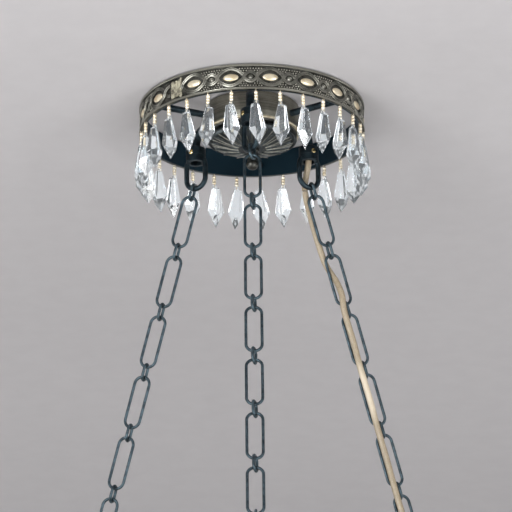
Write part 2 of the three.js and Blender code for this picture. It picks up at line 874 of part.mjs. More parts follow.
// The bowl is part of a sphere with a hole at the bottom for the stud
function glassBowl() {
  const sphere = (bowlRadius ** 2 + bowlDepth ** 2) / (2 * bowlDepth);
  const centreZ = bowlBottomZ + sphere;
  const inside = sphere - bowlWall;
  const steps = 5;
  const outer = [];
  const inner = [];
  const holeRadius = studRadius + bowlHoleGap;
  const outerStart = Math.asin(holeRadius / sphere);
  const outerEnd = Math.asin(bowlRadius / sphere);
  for (let i = 0; i <= steps; i += 1) {
    const angle = outerStart + ((outerEnd - outerStart) * i) / steps;
    outer.push([sphere * Math.sin(angle), centreZ - sphere * Math.cos(angle)]);
    inner.push([Math.max(inside * Math.sin(angle), holeRadius), centreZ - inside * Math.cos(angle)]);
  }
  return turned([...outer, ...inner.reverse()], turnedSegments);
}

function bowlCap() {
  const topZ = bowlBottomZ - seatGap;
  const bore = boreRound(studRadius, screwClearance);
  const boreFloorZ = bowlBottomZ - capHeight / 2 - seatGap;
  return turned([
    [bore, topZ],
    [bore, boreFloorZ],
    [0, boreFloorZ],
    [0, topZ - capHeight],
    [capTipRadius, topZ - capHeight],
    [studRadius + capNeckWall, topZ - capHeight * 0.6],
    [capRadius * 0.8, topZ - capHeight * 0.3],
    [capRadius, topZ - capHeight * 0.2],
    [capRadius, topZ],
  ], smallSegments);
}

// Cable

// Points given as [outward, around, up] from the loop's centre
function hookPoint([outward, around, rise]) {
  const { hook, radial, tangent } = rightChain;
  return moved(hook.centre, [radial, outward], [tangent, around], [up, rise]);
}

// Points given as [down the chain, across the links, towards the front]
function chainPoint([down, across, forward]) {
  const { firstRing, along } = rightChain;
  const reach = (down * pitch) / chainCablePitch;
  return moved(firstRing, [along, reach], [rightChain.across, across], [rightChain.front, forward]);
}

// Points given as [radius, around, height above the arm] about the lamp's axis
function lampPoint([radius, around, height]) {
  return moved(polar(radius, rightChain.azimuth, armTopZ + height), [rightChain.tangent, around]);
}

function cableAlong(points, steps) {
  const curve = new THREE.CatmullRomCurve3(points, false, "centripetal");
  return wire(curve.getSpacedPoints(steps), cableRadius, tubeSides);
}

function crownCable() {
  const stations = stemStations(rightChain);
  const blockFace = rodRadius + blockGapToRod + blockWidth + seatGap;
  const start = polar(blockFace, stemAzimuth(rightChain), stemZ);
  const points = [stations.at(-1), ...hookCable.map(hookPoint)];
  const lower = new THREE.CatmullRomCurve3(points, false, "centripetal");
  return wire([start, ...stations.slice(1, -1), ...lower.getSpacedPoints(12)], cableRadius, tubeSides);
}

function lowerCable() {
  return cableAlong([...lampCable.map(lampPoint), cableEnd], 18);
}

addPart("ceiling_plate", ceilingPlate(), "ceilingSteel");
addPart("threaded_rod", threadedRod(), "polishedBrass");
addPart("canopy_cup", canopyCup(), "brushedBrass");
addPart("rosette", rosette(), "antiqueBrass");
addPart("finial", finial(), "antiqueBrass");
addPart("ring_spider", ringSpider(), "blackenedSteel");
addPart("terminal_block", terminalBlock(), "blockPlastic");
addPart("crown_band", crownBand(), "antiqueBrass");
addPart("crown_drops", dropsOnHoop(crownDropCount, crownRadius, crownTopZ), "crystal");

for (const chain of chains) {
  const stem = wire(stemStations(chain), stemRadius, tubeSides, stemBoreRadius);
  addPart(`${chain.name}_hook_stem`, stem, "blackenedSteel");
  addPart(`${chain.name}_hook_eye`, hookEye(chain), "blackenedSteel");
  addPart(`${chain.name}_set_screw`, setScrew(chain), "polishedBrass");
  addChain(chain, chain === rightChain);
  addPart(`${chain.name}_lamp_eye`, lampEye(chain), "blackenedSteel");
}

addPart("lamp_band", lampBand(), "antiqueBrass");
addPart("lamp_drops", dropsOnHoop(lampDropCount, lampRadius, flangeTopZ), "crystal");
addPart("lamp_spider", lampSpider(), "blackenedSteel");
holderAzimuths.forEach((azimuth, index) => {
  addPart(`lampholder_${index + 1}`, lampHolder(azimuth), "holderPlastic");
  addPart(`bulb_${index + 1}`, bulb(azimuth), "bulbGlass");
});
addPart("glass_bowl", glassBowl(), "frostedGlass");
addPart("bowl_cap", bowlCap(), "antiqueBrass");

addPart("crown_cable", crownCable(), "cable");
addPart("chain_cable", cableAlong(chainCable.map(chainPoint), 48), "cable");
addPart("lamp_cable", lowerCable(), "cable");

export default lampGroup;
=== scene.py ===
import math
import random

import bpy
from mathutils import Matrix, Vector


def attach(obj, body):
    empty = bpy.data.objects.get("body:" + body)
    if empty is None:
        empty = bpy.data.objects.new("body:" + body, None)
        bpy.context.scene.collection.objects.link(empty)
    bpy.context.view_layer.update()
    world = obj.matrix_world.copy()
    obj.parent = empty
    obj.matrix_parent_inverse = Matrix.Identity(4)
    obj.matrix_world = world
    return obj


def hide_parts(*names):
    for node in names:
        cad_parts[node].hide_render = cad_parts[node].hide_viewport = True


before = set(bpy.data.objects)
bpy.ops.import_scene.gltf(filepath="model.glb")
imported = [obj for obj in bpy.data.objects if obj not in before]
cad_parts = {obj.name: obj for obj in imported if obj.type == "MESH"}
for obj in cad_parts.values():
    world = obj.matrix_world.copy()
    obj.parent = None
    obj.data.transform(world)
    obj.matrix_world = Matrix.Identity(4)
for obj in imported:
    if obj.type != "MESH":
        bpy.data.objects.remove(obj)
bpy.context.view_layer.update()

mm = 0.001  # the sizes below are in millimetres, the scene is in metres
up = Vector((0, 0, 1))


# Helpers for modelling

def only(*objects):
    bpy.ops.object.select_all(action="DESELECT")
    for obj in objects:
        obj.select_set(True)
    bpy.context.view_layer.objects.active = objects[0]


def polar(radius, azimuth, z=0.0):
    angle = math.radians(azimuth)
    return Vector((radius * math.cos(angle), radius * math.sin(angle), z))


def curveObject(name, points, closed, sizes=None):
    curve = bpy.data.curves.new(name, "CURVE")
    curve.dimensions = "3D"
    spline = curve.splines.new("POLY")
    spline.points.add(len(points) - 1)
    for index, point in enumerate(points):
        spline.points[index].co = (point[0] * mm, point[1] * mm, point[2] * mm, 1)
        spline.points[index].radius = sizes[index] if sizes else 1
    spline.use_cyclic_u = closed
    obj = bpy.data.objects.new(name, curve)
    bpy.context.collection.objects.link(obj)
    only(obj)
    return obj


def smooth(obj, angle=38):
    only(obj)
    bpy.ops.object.shade_smooth_by_angle(angle=math.radians(angle))
    return obj


def wire(name, points, radius, sides=12, closed=False, sizes=None, caps=True):
    obj = curveObject(name, points, closed, sizes)
    obj.data.bevel_depth = radius * mm
    obj.data.bevel_resolution = (sides - 4) // 2
    obj.data.use_fill_caps = caps and not closed
    bpy.ops.object.convert(target="MESH")
    return smooth(obj, 50)


def editAll(obj):
    only(obj)
    bpy.ops.object.mode_set(mode="EDIT")
    bpy.ops.mesh.select_all(action="SELECT")


def tidyMesh(obj):
    editAll(obj)
    bpy.ops.mesh.remove_doubles(threshold=1e-6)
    bpy.ops.mesh.normals_make_consistent(inside=False)
    bpy.ops.object.mode_set(mode="OBJECT")


def applied(obj, kind, **settings):
    only(obj)
    modifier = obj.modifiers.new(kind.title(), kind)
    for key, value in settings.items():
        setattr(modifier, key, value)
    bpy.ops.object.modifier_apply(modifier=modifier.name)
    return obj


def rounded(obj, width, segments=2, angle=30):
    applied(obj, "BEVEL", width=width * mm, segments=segments, limit_method="ANGLE",
            angle_limit=math.radians(angle), use_clamp_overlap=True)
    return smooth(obj)


# A piece spun about Z from [radius, z] pairs, which end on the axis or close on themselves
def turned(name, profile, steps=64, edge=0.0):
    onAxis = profile[0][0] == 0 and profile[-1][0] == 0
    obj = curveObject(name, [(radius, 0, z) for radius, z in profile], not onAxis)
    bpy.ops.object.convert(target="MESH")
    editAll(obj)
    bpy.ops.mesh.spin(steps=steps, angle=2 * math.pi, center=(0, 0, 0), axis=(0, 0, 1), use_auto_merge=True)
    bpy.ops.object.mode_set(mode="OBJECT")
    tidyMesh(obj)
    return rounded(obj, edge) if edge else smooth(obj)


def placed(obj, matrix):
    obj.matrix_world = matrix
    only(obj)
    bpy.ops.object.transform_apply(location=True, rotation=True, scale=True)
    return obj


# X, Y and Z of the piece's own frame and its origin in millimetres
def basis(x, y, z, origin):
    matrix = Matrix((x, y, z)).transposed().to_4x4()
    matrix.translation = origin * mm
    return matrix


def turnZ(azimuth, origin=Vector((0, 0, 0))):
    return Matrix.Translation(origin * mm) @ Matrix.Rotation(math.radians(azimuth), 4, "Z")


def copyOf(obj, name, matrix=None):
    twin = obj.copy()
    twin.data = obj.data.copy()
    twin.name = name
    bpy.context.collection.objects.link(twin)
    if matrix is not None:
        twin.data.transform(matrix)
    return twin


def joined(name, objects):
    only(*objects)
    bpy.ops.object.join()
    objects[0].name = name
    return objects[0]


def removed(obj):
    bpy.data.objects.remove(obj, do_unlink=True)


# A box of the given size and middle, shaped in edit mode
def boxOf(size, middle=(0, 0, 0)):
    bpy.ops.object.select_all(action="DESELECT")
    bpy.ops.mesh.primitive_cube_add(size=1)
    box = bpy.context.object
    editAll(box)
    bpy.ops.transform.resize(value=[side * mm for side in size])
    bpy.ops.transform.translate(value=[place * mm for place in middle])
    bpy.ops.object.mode_set(mode="OBJECT")
    return box


def cut(obj, tool, how="DIFFERENCE"):
    applied(obj, "BOOLEAN", operation=how, object=tool, solver="EXACT")
    removed(tool)
    return obj


def paint(obj, material):
    obj.data.materials.clear()
    obj.data.materials.append(material)
    return obj


def finished(obj, body, material=None, nodes=()):
    if material:
        paint(obj, material)
    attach(obj, body)
    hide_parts(*nodes)
    return obj


# Points of a centripetal Catmull-Rom curve, evenly spaced along it
def catmull(points, count):
    fine = []
    padded = [2 * points[0] - points[1], *points, 2 * points[-1] - points[-2]]
    for a, b, c, d in zip(padded, padded[1:], padded[2:], padded[3:]):
        t1 = max((b - a).length, 1e-4) ** 0.5
        t2 = t1 + max((c - b).length, 1e-4) ** 0.5
        t3 = t2 + max((d - c).length, 1e-4) ** 0.5
        for step in range(24):
            t = t1 + (t2 - t1) * step / 24
            ab = a.lerp(b, t / t1)
            bc = b.lerp(c, (t - t1) / (t2 - t1))
            cd = c.lerp(d, (t - t2) / (t3 - t2))
            abc = ab.lerp(bc, t / t2)
            bcd = bc.lerp(cd, (t - t1) / (t3 - t1))
            fine.append(abc.lerp(bcd, (t - t1) / (t2 - t1)))
    fine.append(points[-1].copy())
    return evenly(fine, count)


def evenly(fine, count):
    reach = [0.0]
    for one, two in zip(fine, fine[1:]):
        reach.append(reach[-1] + (two - one).length)
    result = []
    index = 0
    for step in range(count):
        target = reach[-1] * step / (count - 1)
        while index < len(fine) - 2 and reach[index + 1] < target:
            index += 1
        span = max(reach[index + 1] - reach[index], 1e-9)
        result.append(fine[index].lerp(fine[index + 1], (target - reach[index]) / span))
    return result


# Camera, first because the framing decides the rest

camera = {
    "place": (3.1, -4901.0, -2131.0),
    "pitch": 21.68,
    "roll": -0.6,
    "lens": 325.6,
}
cameraData = bpy.data.cameras.new("photoCamera")
cameraData.lens = camera["lens"]
cameraData.sensor_width = 36
cameraData.clip_start = 0.1
cameraData.clip_end = 60
photoCamera = bpy.data.objects.new("photoCamera", cameraData)
bpy.context.collection.objects.link(photoCamera)
tiltUp = Matrix.Rotation(math.radians(90 + camera["pitch"]), 4, "X")
rolled = Matrix.Rotation(math.radians(camera["roll"]), 4, "Z")
photoCamera.matrix_world = Matrix.Translation(Vector(camera["place"]) * mm) @ tiltUp @ rolled
bpy.context.scene.camera = photoCamera
print("camera placed")


# Where the chains, hooks and eyes are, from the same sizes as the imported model

lamp = {
    "crownRadius": 130,
    "crownTop": -0.4,
    "lampRadius": 246,
    "bandHeight": 31.2,
    "bandDepth": 5.2,
    "flangeWidth": 18,
    "flangeThickness": 2.5,
    "topRadius": 80.3,
    "topZ": -87,
    "eyeInset": 11.3,
    "collarToArc": 19.2,
    "collarHeight": 18,
    "seatGap": 0.3,
    "armThickness": 3,
    "pitches": 7,
    "pitch": 72.8,
    "loopWidth": 31,
    "hookWire": 6,
    "eyeWire": 5.6,
    "linkLength": 64.3,
    "linkWidth": 21,
    "ringLength": 22.2,
    "ringWidth": 15,
    "chainWire": 3.4,
    "lampGap": 1.1,
}
chainTurns = {
    "front": {"azimuth": 270, "linkTurn": 90, "topRingTurn": 30, "loopTwist": 38, "eyeTwist": 90, "gap": 0.7,
              "screwSide": -1},
    "left": {"azimuth": 150, "linkTurn": 14, "topRingTurn": None, "loopTwist": 0, "eyeTwist": 0, "gap": 0.3,
             "screwSide": 1},
    "right": {"azimuth": 30, "linkTurn": -14, "topRingTurn": None, "loopTwist": 0, "eyeTwist": 0, "gap": 0.3,
              "screwSide": -1},
}


# Where a loop of the given wire size holds a chain's end ring, above it or below it
def loopSeat(chain, ringCentre, side, twist, wireSize, gap):
    angle = math.radians(twist)
    plane = chain["radial"] * math.cos(angle) + chain["tangent"] * math.sin(angle)
    pull = (plane * plane.dot(chain["along"]) + up * up.dot(chain["along"])).normalized()
    arc = (lamp["loopWidth"] - wireSize) / 2
    reach = lamp["ringLength"] / 2 - lamp["chainWire"] - gap
    centre = ringCentre + chain["along"] * side * reach + pull * side * (arc - wireSize / 2)
    return {"centre": centre, "plane": plane}


# A chain's directions, its first ring's middle, and the loops at both of its ends
def chainLayout(name, azimuth, linkTurn, topRingTurn, loopTwist, eyeTwist, gap, screwSide):
    radial = polar(1, azimuth)
    tangent = up.cross(radial)
    run = lamp["pitches"] * lamp["pitch"]
    reach = lamp["lampRadius"] - lamp["eyeInset"] - lamp["topRadius"]
    tilt = math.asin(reach / (run + lamp["loopWidth"] / 2))
    along = radial * math.sin(tilt) - up * math.cos(tilt)
    outward = radial * math.cos(tilt) + up * math.sin(tilt)
    turn = math.radians(linkTurn)
    across = outward * math.cos(turn) + tangent * math.sin(turn)
    first = polar(lamp["topRadius"], azimuth, lamp["topZ"])
    chain = {"name": name, "azimuth": azimuth, "radial": radial, "tangent": tangent, "along": along,
             "outward": outward, "across": across, "front": along.cross(across), "first": first,
             "topRingTurn": topRingTurn, "screwSide": screwSide}
    chain["hook"] = loopSeat(chain, first, -1, loopTwist, lamp["hookWire"], gap)
    chain["eye"] = loopSeat(chain, first + along * run, 1, eyeTwist, lamp["eyeWire"], lamp["lampGap"])
    return chain


chains = [chainLayout(name, **turns) for name, turns in chainTurns.items()]
rightChain = chains[2]
collarToArc, collarHeight, seatGap = lamp["collarToArc"], lamp["collarHeight"], lamp["seatGap"]
lowestEye = min(chain["eye"]["centre"].z for chain in chains)
flangeTop = lowestEye - collarToArc - collarHeight - seatGap
armTop = flangeTop - lamp["flangeThickness"] - seatGap
armBottom = armTop - lamp["armThickness"]


# Shader groups that several finishes share

def node(tree, kind, settings=None, **inputs):
    made = tree.nodes.new(kind)
    for key, value in (settings or {}).items():
        setattr(made, key, value)
    for key, value in inputs.items():
        feed(tree, value, made.inputs[key.replace("_", " ")])
    return made


def feed(tree, value, socket):
    if isinstance(value, bpy.types.NodeSocket):
        tree.links.new(value, socket)
    else:
        socket.default_value = value


def newGroup(name, inputs, outputs):
    tree = bpy.data.node_groups.new(name, "ShaderNodeTree")
    for socketName, value in inputs.items():
        kind = "NodeSocketColor" if isinstance(value, tuple) else "NodeSocketFloat"
        tree.interface.new_socket(name=socketName, in_out="INPUT", socket_type=kind).default_value = value
    for socketName in outputs:
        kind = "NodeSocketColor" if socketName == "Colour" else "NodeSocketFloat"
        tree.interface.new_socket(name=socketName, in_out="OUTPUT", socket_type=kind)
    return tree, tree.nodes.new("NodeGroupInput"), tree.nodes.new("NodeGroupOutput")


def calc(tree, operation, first, second=0.0, third=0.0):
    made = tree.nodes.new("ShaderNodeMath")
    made.operation = operation
    for value, socket in zip((first, second, third), made.inputs):
        feed(tree, value, socket)
    return made.outputs[0]


def mapped(tree, value, low, high, to0=0.0, to1=1.0, kind="SMOOTHSTEP"):
    made = node(tree, "ShaderNodeMapRange", {"interpolation_type": kind, "clamp": True} if kind == "LINEAR"
                else {"interpolation_type": kind}, Value=value)
    for socket, number in (("From Min", low), ("From Max", high), ("To Min", to0), ("To Max", to1)):
        feed(tree, number, made.inputs[socket])
    return made.outputs["Result"]


def blended(tree, factor, one, two):
    made = tree.nodes.new("ShaderNodeMix")
    made.data_type = "RGBA"
    feed(tree, factor, made.inputs[0])
    feed(tree, one, made.inputs[6])
    feed(tree, two, made.inputs[7])
    return made.outputs[2]


def noise(tree, vector, scale, detail=3.0, roughness=0.55):
    made = node(tree, "ShaderNodeTexNoise", None, Scale=scale, Detail=detail, Roughness=roughness)
    tree.links.new(vector, made.inputs["Vector"])
    return made.outputs[0]


# Metal mottled between a base and a dark colour and rubbed in fine patches
def patinaGroup():
    tree, start, end = newGroup("patina", {
        "Base": (0.2, 0.2, 0.2, 1), "Dark": (0.05, 0.05, 0.05, 1), "Worn": (0.5, 0.5, 0.5, 1),
        "Scale": 60.0, "Wear": 0.3, "Smoothest": 0.3, "Roughest": 0.5,
    }, ["Colour", "Roughness", "Height"])
    place = tree.nodes.new("ShaderNodeTexCoord").outputs["Object"]
    coarse = noise(tree, place, start.outputs["Scale"], 4)
    fine = noise(tree, place, calc(tree, "MULTIPLY", start.outputs["Scale"], 7), 5, 0.65)
    shade = blended(tree, mapped(tree, coarse, 0.35, 0.62), start.outputs["Dark"], start.outputs["Base"])
    rub = calc(tree, "MULTIPLY", mapped(tree, fine, 0.5, 0.72), start.outputs["Wear"])
    tree.links.new(blended(tree, rub, shade, start.outputs["Worn"]), end.inputs["Colour"])
    even = calc(tree, "MULTIPLY_ADD", fine, 0.4, calc(tree, "MULTIPLY", coarse, 0.6))
    spread = calc(tree, "SUBTRACT", start.outputs["Roughest"], start.outputs["Smoothest"])
    rough = calc(tree, "MULTIPLY_ADD", even, spread, start.outputs["Smoothest"])
    tree.links.new(rough, end.inputs["Roughness"])
    tree.links.new(fine, end.inputs["Height"])
    return tree


# Lines left by turning or brushing about the Z axis, without a seam
def turnedLinesGroup():
    tree, start, end = newGroup("turnedLines", {"Density": 2200.0}, ["Lines"])
    place = tree.nodes.new("ShaderNodeTexCoord").outputs["Object"]
    split = node(tree, "ShaderNodeSeparateXYZ", None, Vector=place)
    x, y, z = split.outputs
    reach = calc(tree, "SQRT", calc(tree, "ADD", calc(tree, "MULTIPLY", x, x), calc(tree, "MULTIPLY", y, y)))
    swing = calc(tree, "ARCTAN2", y, x)
    around = calc(tree, "MULTIPLY", calc(tree, "COSINE", swing), 1.6)
    aside = calc(tree, "MULTIPLY", calc(tree, "SINE", swing), 1.6)
    lineZ = calc(tree, "MULTIPLY_ADD", z, start.outputs["Density"], around)
    lineR = calc(tree, "MULTIPLY_ADD", reach, start.outputs["Density"], aside)
    vector = node(tree, "ShaderNodeCombineXYZ", None, X=lineR, Y=lineZ).outputs[0]
    tree.links.new(noise(tree, vector, 1.0, 3, 0.7), end.inputs["Lines"])
    return tree


# 0 below the first distance from the Z axis and 1 above the second
def reliefGroup():
    tree, start, end = newGroup("relief", {"Low": 0.1, "High": 0.11}, ["Mask"])
    place = tree.nodes.new("ShaderNodeTexCoord").outputs["Object"]
    split = node(tree, "ShaderNodeSeparateXYZ", None, Vector=place)
    x, y = split.outputs[0], split.outputs[1]
    reach = calc(tree, "SQRT", calc(tree, "ADD", calc(tree, "MULTIPLY", x, x), calc(tree, "MULTIPLY", y, y)))
    mask = mapped(tree, reach, start.outputs["Low"], start.outputs["High"])
    tree.links.new(mask, end.inputs["Mask"])
    return tree


patina = patinaGroup()
turnedLines = turnedLinesGroup()
relief = reliefGroup()


def linear(red, green, blue):
    def channel(value):
        value /= 255
        return value / 12.92 if value <= 0.04045 else ((value + 0.055) / 1.055) ** 2.4
    return (channel(red), channel(green), channel(blue), 1.0)


def newMaterial(name, **plain):
    material = bpy.data.materials.new(name)
    material.use_nodes = True
    tree = material.node_tree
    shader = tree.nodes["Principled BSDF"]
    for key, value in plain.items():
        shader.inputs[key.replace("_", " ")].default_value = value
    return material, tree, shader


def grouped(tree, group, **inputs):
    made = tree.nodes.new("ShaderNodeGroup")
    made.node_tree = group
    for key, value in inputs.items():
        feed(tree, value, made.inputs[key])
    return made


def bumped(tree, shader, height, depth, strength=1.0):
    made = node(tree, "ShaderNodeBump", None, Height=height, Distance=depth, Strength=strength)
    tree.links.new(made.outputs[0], shader.inputs["Normal"])


def agedMetal(name, base, dark, worn, scale=60.0, wear=0.3, smoothest=0.3, roughest=0.5, depth=0.00012,
              metallic=1.0, lines=0.0, density=2200.0):
    material, tree, shader = newMaterial(name, Metallic=metallic)
    aged = grouped(tree, patina, Base=linear(*base), Dark=linear(*dark), Worn=linear(*worn), Scale=scale,
                   Wear=wear, Smoothest=smoothest, Roughest=roughest)
    colour, height = aged.outputs["Colour"], aged.outputs["Height"]
    if lines:
        brushed = grouped(tree, turnedLines, Density=density).outputs[0]
        colour = blended(tree, mapped(tree, brushed, 0.3, 0.7, 0.0, lines), colour, linear(*worn))
        height = calc(tree, "MULTIPLY_ADD", brushed, 0.8, calc(tree, "MULTIPLY", height, 0.2))
    tree.links.new(colour, shader.inputs["Base Color"])
    tree.links.new(aged.outputs["Roughness"], shader.inputs["Roughness"])
    bumped(tree, shader, height, depth)
    return material


# Antique bronze that is dark in the relief's ground and rubbed on its heights, with painted shade on the
# inside: the inner faces are painted dark blue-grey
def bandMetal(name, face, dark, base, worn):
    material, tree, shader = newMaterial(name, Metallic=0.95)
    aged = grouped(tree, patina, Base=linear(*base), Dark=linear(*dark), Worn=linear(*worn), Scale=90.0,
                   Wear=0.25, Smoothest=0.3, Roughest=0.48)
    height = grouped(tree, relief, Low=(face + 1.7) * mm, High=(face + 2.55) * mm).outputs[0]
    outside = grouped(tree, relief, Low=(face - 1.2) * mm, High=(face - 0.8) * mm).outputs[0]
    lifted = blended(tree, calc(tree, "MULTIPLY", height, 0.8), aged.outputs["Colour"], linear(*worn))
    # Painted shade: the inner faces, and the lamp band's flange, take a dark blue-grey instead of the bronze
    shade = blended(tree, outside, linear(42, 66, 79), lifted)
    tree.links.new(shade, shader.inputs["Base Color"])
    rough = calc(tree, "SUBTRACT", aged.outputs["Roughness"], calc(tree, "MULTIPLY", height, 0.1))
    tree.links.new(rough, shader.inputs["Roughness"])
    bumped(tree, shader, aged.outputs["Height"], 0.00012)
    return material


def glassMaterial(name, colour, clear):
    material, tree, shader = newMaterial(name, Transmission_Weight=clear, IOR=1.54, Metallic=0.0)
    place = tree.nodes.new("ShaderNodeTexCoord").outputs["Object"]
    streak = noise(tree, place, 140.0, 2)
    tree.links.new(blended(tree, streak, linear(*colour), linear(255, 255, 255)), shader.inputs["Base Color"])
    tree.links.new(mapped(tree, streak, 0.4, 0.7, 0.0, 0.02), shader.inputs["Roughness"])
    bumped(tree, shader, streak, 0.00004)
    return material


# A clear sheath over twisted gold strands, with one lighter stripe along one side
def cableMaterial():
    material, tree, shader = newMaterial("cableSheath", Coat_Weight=0.4, Coat_Roughness=0.2, Metallic=0.0)
    place = tree.nodes.new("ShaderNodeUVMap").outputs[0]
    split = node(tree, "ShaderNodeSeparateXYZ", None, Vector=place)
    around, alongCable = split.outputs[0], split.outputs[1]
    lay = calc(tree, "MULTIPLY_ADD", alongCable, 34.0, calc(tree, "MULTIPLY", around, 7.0))
    strand = calc(tree, "SINE", calc(tree, "MULTIPLY", lay, 2 * math.pi))
    grain = noise(tree, tree.nodes.new("ShaderNodeTexCoord").outputs["Object"], 240.0, 3)
    twist = calc(tree, "MULTIPLY_ADD", grain, 0.5, calc(tree, "MULTIPLY", strand, 0.28))
    gold = blended(tree, mapped(tree, twist, -0.1, 0.6), linear(126, 112, 90), linear(186, 171, 146))
    stripeOffset = calc(tree, "ABSOLUTE", calc(tree, "SUBTRACT", around, 0.5))
    colour = blended(tree, mapped(tree, stripeOffset, 0.03, 0.085, 0.85, 0.0), gold, linear(214, 201, 178))
    tree.links.new(colour, shader.inputs["Base Color"])
    tree.links.new(mapped(tree, grain, 0.3, 0.7, 0.3, 0.45), shader.inputs["Roughness"])
    bumped(tree, shader, strand, 0.00015, 0.5)
    return material


def plasticMaterial(name, colour, dark, roughness):
    material, tree, shader = newMaterial(name, Metallic=0.0)
    place = tree.nodes.new("ShaderNodeTexCoord").outputs["Object"]
    cloud = noise(tree, place, 55.0, 3)
    pores = noise(tree, place, 900.0, 2)
    tree.links.new(blended(tree, mapped(tree, cloud, 0.3, 0.7), linear(*dark), linear(*colour)),
                   shader.inputs["Base Color"])
    tree.links.new(mapped(tree, cloud, 0.3, 0.7, roughness, roughness + 0.12), shader.inputs["Roughness"])
    bumped(tree, shader, pores, 0.00008)
    return material


# Milky glass, veined lightly like alabaster, that lets a part of the light through
def milkGlass(name, colour, vein, through, roughness):
    material, tree, shader = newMaterial(name, Metallic=0.0, Transmission_Weight=through, IOR=1.45,
                                         Subsurface_Weight=0.0)
    place = tree.nodes.new("ShaderNodeTexCoord").outputs["Object"]
    warp = noise(tree, place, 14.0, 5, 0.6)
    fine = noise(tree, place, 320.0, 3)
    line = calc(tree, "ABSOLUTE", calc(tree, "SUBTRACT", warp, 0.5))
    tree.links.new(blended(tree, mapped(tree, line, 0.0, 0.06, 0.5, 0.0), linear(*colour), linear(*vein)),
                   shader.inputs["Base Color"])
    tree.links.new(mapped(tree, fine, 0.3, 0.7, roughness, roughness + 0.1), shader.inputs["Roughness"])
    bumped(tree, shader, fine, 0.00006)
    return material


bandColours = ((50, 51, 48), (90, 90, 85), (172, 171, 160))
finish = {
    "crownBand": bandMetal("crownBronze", 127.4, *bandColours),
    "lampBand": bandMetal("lampBronze", 243.4, *bandColours),
    "strand": agedMetal("bronzeStrand", (152, 151, 142), (108, 109, 103), (214, 212, 200), 110, 0.5, 0.3,
                        0.46),
    "beading": agedMetal("rubbedBeads", (196, 194, 182), (150, 148, 138), (224, 222, 212), 140, 0.4, 0.26,
                         0.42),
    "patch": agedMetal("wornPatch", (186, 182, 160), (108, 104, 90), (226, 222, 204), 210, 0.6, 0.4, 0.6,
                       depth=0.0005, metallic=0.5),
    # Cream brass of the ovals and the bowl cap, also laid on the cup's lip as a painted highlight
    "oval": agedMetal("rubbedBrassAndLipHighlight", (238, 227, 200), (208, 190, 154), (252, 247, 234), 110, 0.5, 0.26, 0.42,
                      metallic=0.7),
    "cup": agedMetal("brushedBrass", (144, 141, 129), (100, 100, 93), (200, 196, 180), 40, 0.15, 0.3, 0.42,
                     depth=0.00015, lines=0.6, density=1500.0),
    "rosette": agedMetal("leafBrass", (84, 90, 92), (62, 68, 71), (146, 151, 148), 70, 0.3, 0.24, 0.4),
    # Darker brass, laid on the cup's step as painted shade
    "step": agedMetal("shadedBrass", (82, 82, 78), (52, 53, 52), (124, 124, 118), 60, 0.25, 0.32, 0.48),
    "black": agedMetal("blackenedSteel", (43, 57, 64), (26, 35, 41), (92, 104, 108), 120, 0.22, 0.3, 0.5,
                       depth=0.0002, metallic=0.8),
    "chain": agedMetal("chainSteel", (76, 92, 100), (48, 60, 67), (140, 152, 156), 150, 0.28, 0.3, 0.48,
                       metallic=0.85),
    "polished": agedMetal("polishedBrass", (226, 208, 158), (196, 172, 118), (246, 236, 206), 200, 0.3, 0.12,
                          0.24, depth=0.00004),
    "pin": agedMetal("goldPin", (250, 242, 222), (234, 216, 182), (255, 252, 242), 260, 0.4, 0.16, 0.28,
                     depth=0.00002, metallic=0.55),
    "steel": agedMetal("ceilingSteel", (150, 151, 148), (112, 113, 111), (190, 190, 188), 60, 0.2, 0.32, 0.5),
    "crystal": glassMaterial("cutCrystal", (226, 238, 245), 0.94),
    "cable": cableMaterial(),
    "block": plasticMaterial("blockPlastic", (232, 228, 216), (214, 209, 196), 0.45),
    "holder": plasticMaterial("holderPlastic", (40, 37, 35), (26, 24, 23), 0.38),
    "bulb": milkGlass("bulbGlass", (248, 245, 234), (240, 235, 222), 0.35, 0.2),
    "bowl": milkGlass("frostedGlass", (244, 238, 226), (220, 204, 178), 0.25, 0.32),
}
print("finishes made")


# Supply cable: out of the block, through the right stem, woven along the right chain, into the hub

cable = {
    "radius": 3.6,
    "sides": 20,
    "hook": [(0, 0, 25), (0, 1.2, 16), (-0.6, 4.9, 4), (-1.3, 7.1, -6), (-1.2, 7.7, -14.1)],
    "chain": [
        (-2.2, -7.3, -6.2), (9, -8.4, -6.2), (21, -9.1, -5.9), (40, -9.3, -5.8), (59, -9.1, -5.9),
        (73, -8.6, -6), (86, -7.5, -6), (97, -5.2, -4.6), (109, -2.9, -0.4), (121, -2.7, 4.2),
        (131, -3.5, 6.7), (139, -5, 6.9), (147, -5.8, 6.4), (160, -5.7, 6), (182, -5, 5.5), (206, -5.6, 5.9),
        (219, -5.8, 6.1), (255, -4.9, 5.5), (291, -5.8, 6.1), (328, -5.1, 5.4), (364, -5.8, 6.1),
        (401, -5, 5.5), (437, -5.8, 6.1), (470, -5.6, 5.9), (497, -6, 6.5),
    ],
    "lamp": [
        (219.9, -4.9, 64.6), (221, -6.6, 54), (221.9, -7.9, 39), (220.4, -7.6, 26), (214.6, -6.3, 14.2),
        (205, -4.4, 7), (192, -2.2, 4.5), (172, -0.6, 4.1), (140, 0, 4.1), (90, 0, 4.1), (40, 0, 4.1),
        (24.3, 0, 4.1),
    ],
}
stem = {
    "radius": 5.25,
    "wall": 0.85,
    "bend": 20,
    "inner": 28,
    "z": -8.55,
    "inCollar": 8,
}


def stemPoints(chain):
    centre = chain["hook"]["centre"]
    azimuth = math.degrees(math.atan2(centre.y, centre.x))
    reach = math.hypot(centre.x, centre.y)
    points = [polar(stem["inner"], azimuth, stem["z"])]
    for step in range(15):
        angle = math.radians(90 * step / 14)
        radius = reach - stem["bend"] * (1 - math.sin(angle))
        points.append(polar(radius, azimuth, stem["z"] - stem["bend"] * (1 - math.cos(angle))))
    points.append(polar(reach, azimuth, centre.z + collarToArc + collarHeight - stem["inCollar"]))
    return points


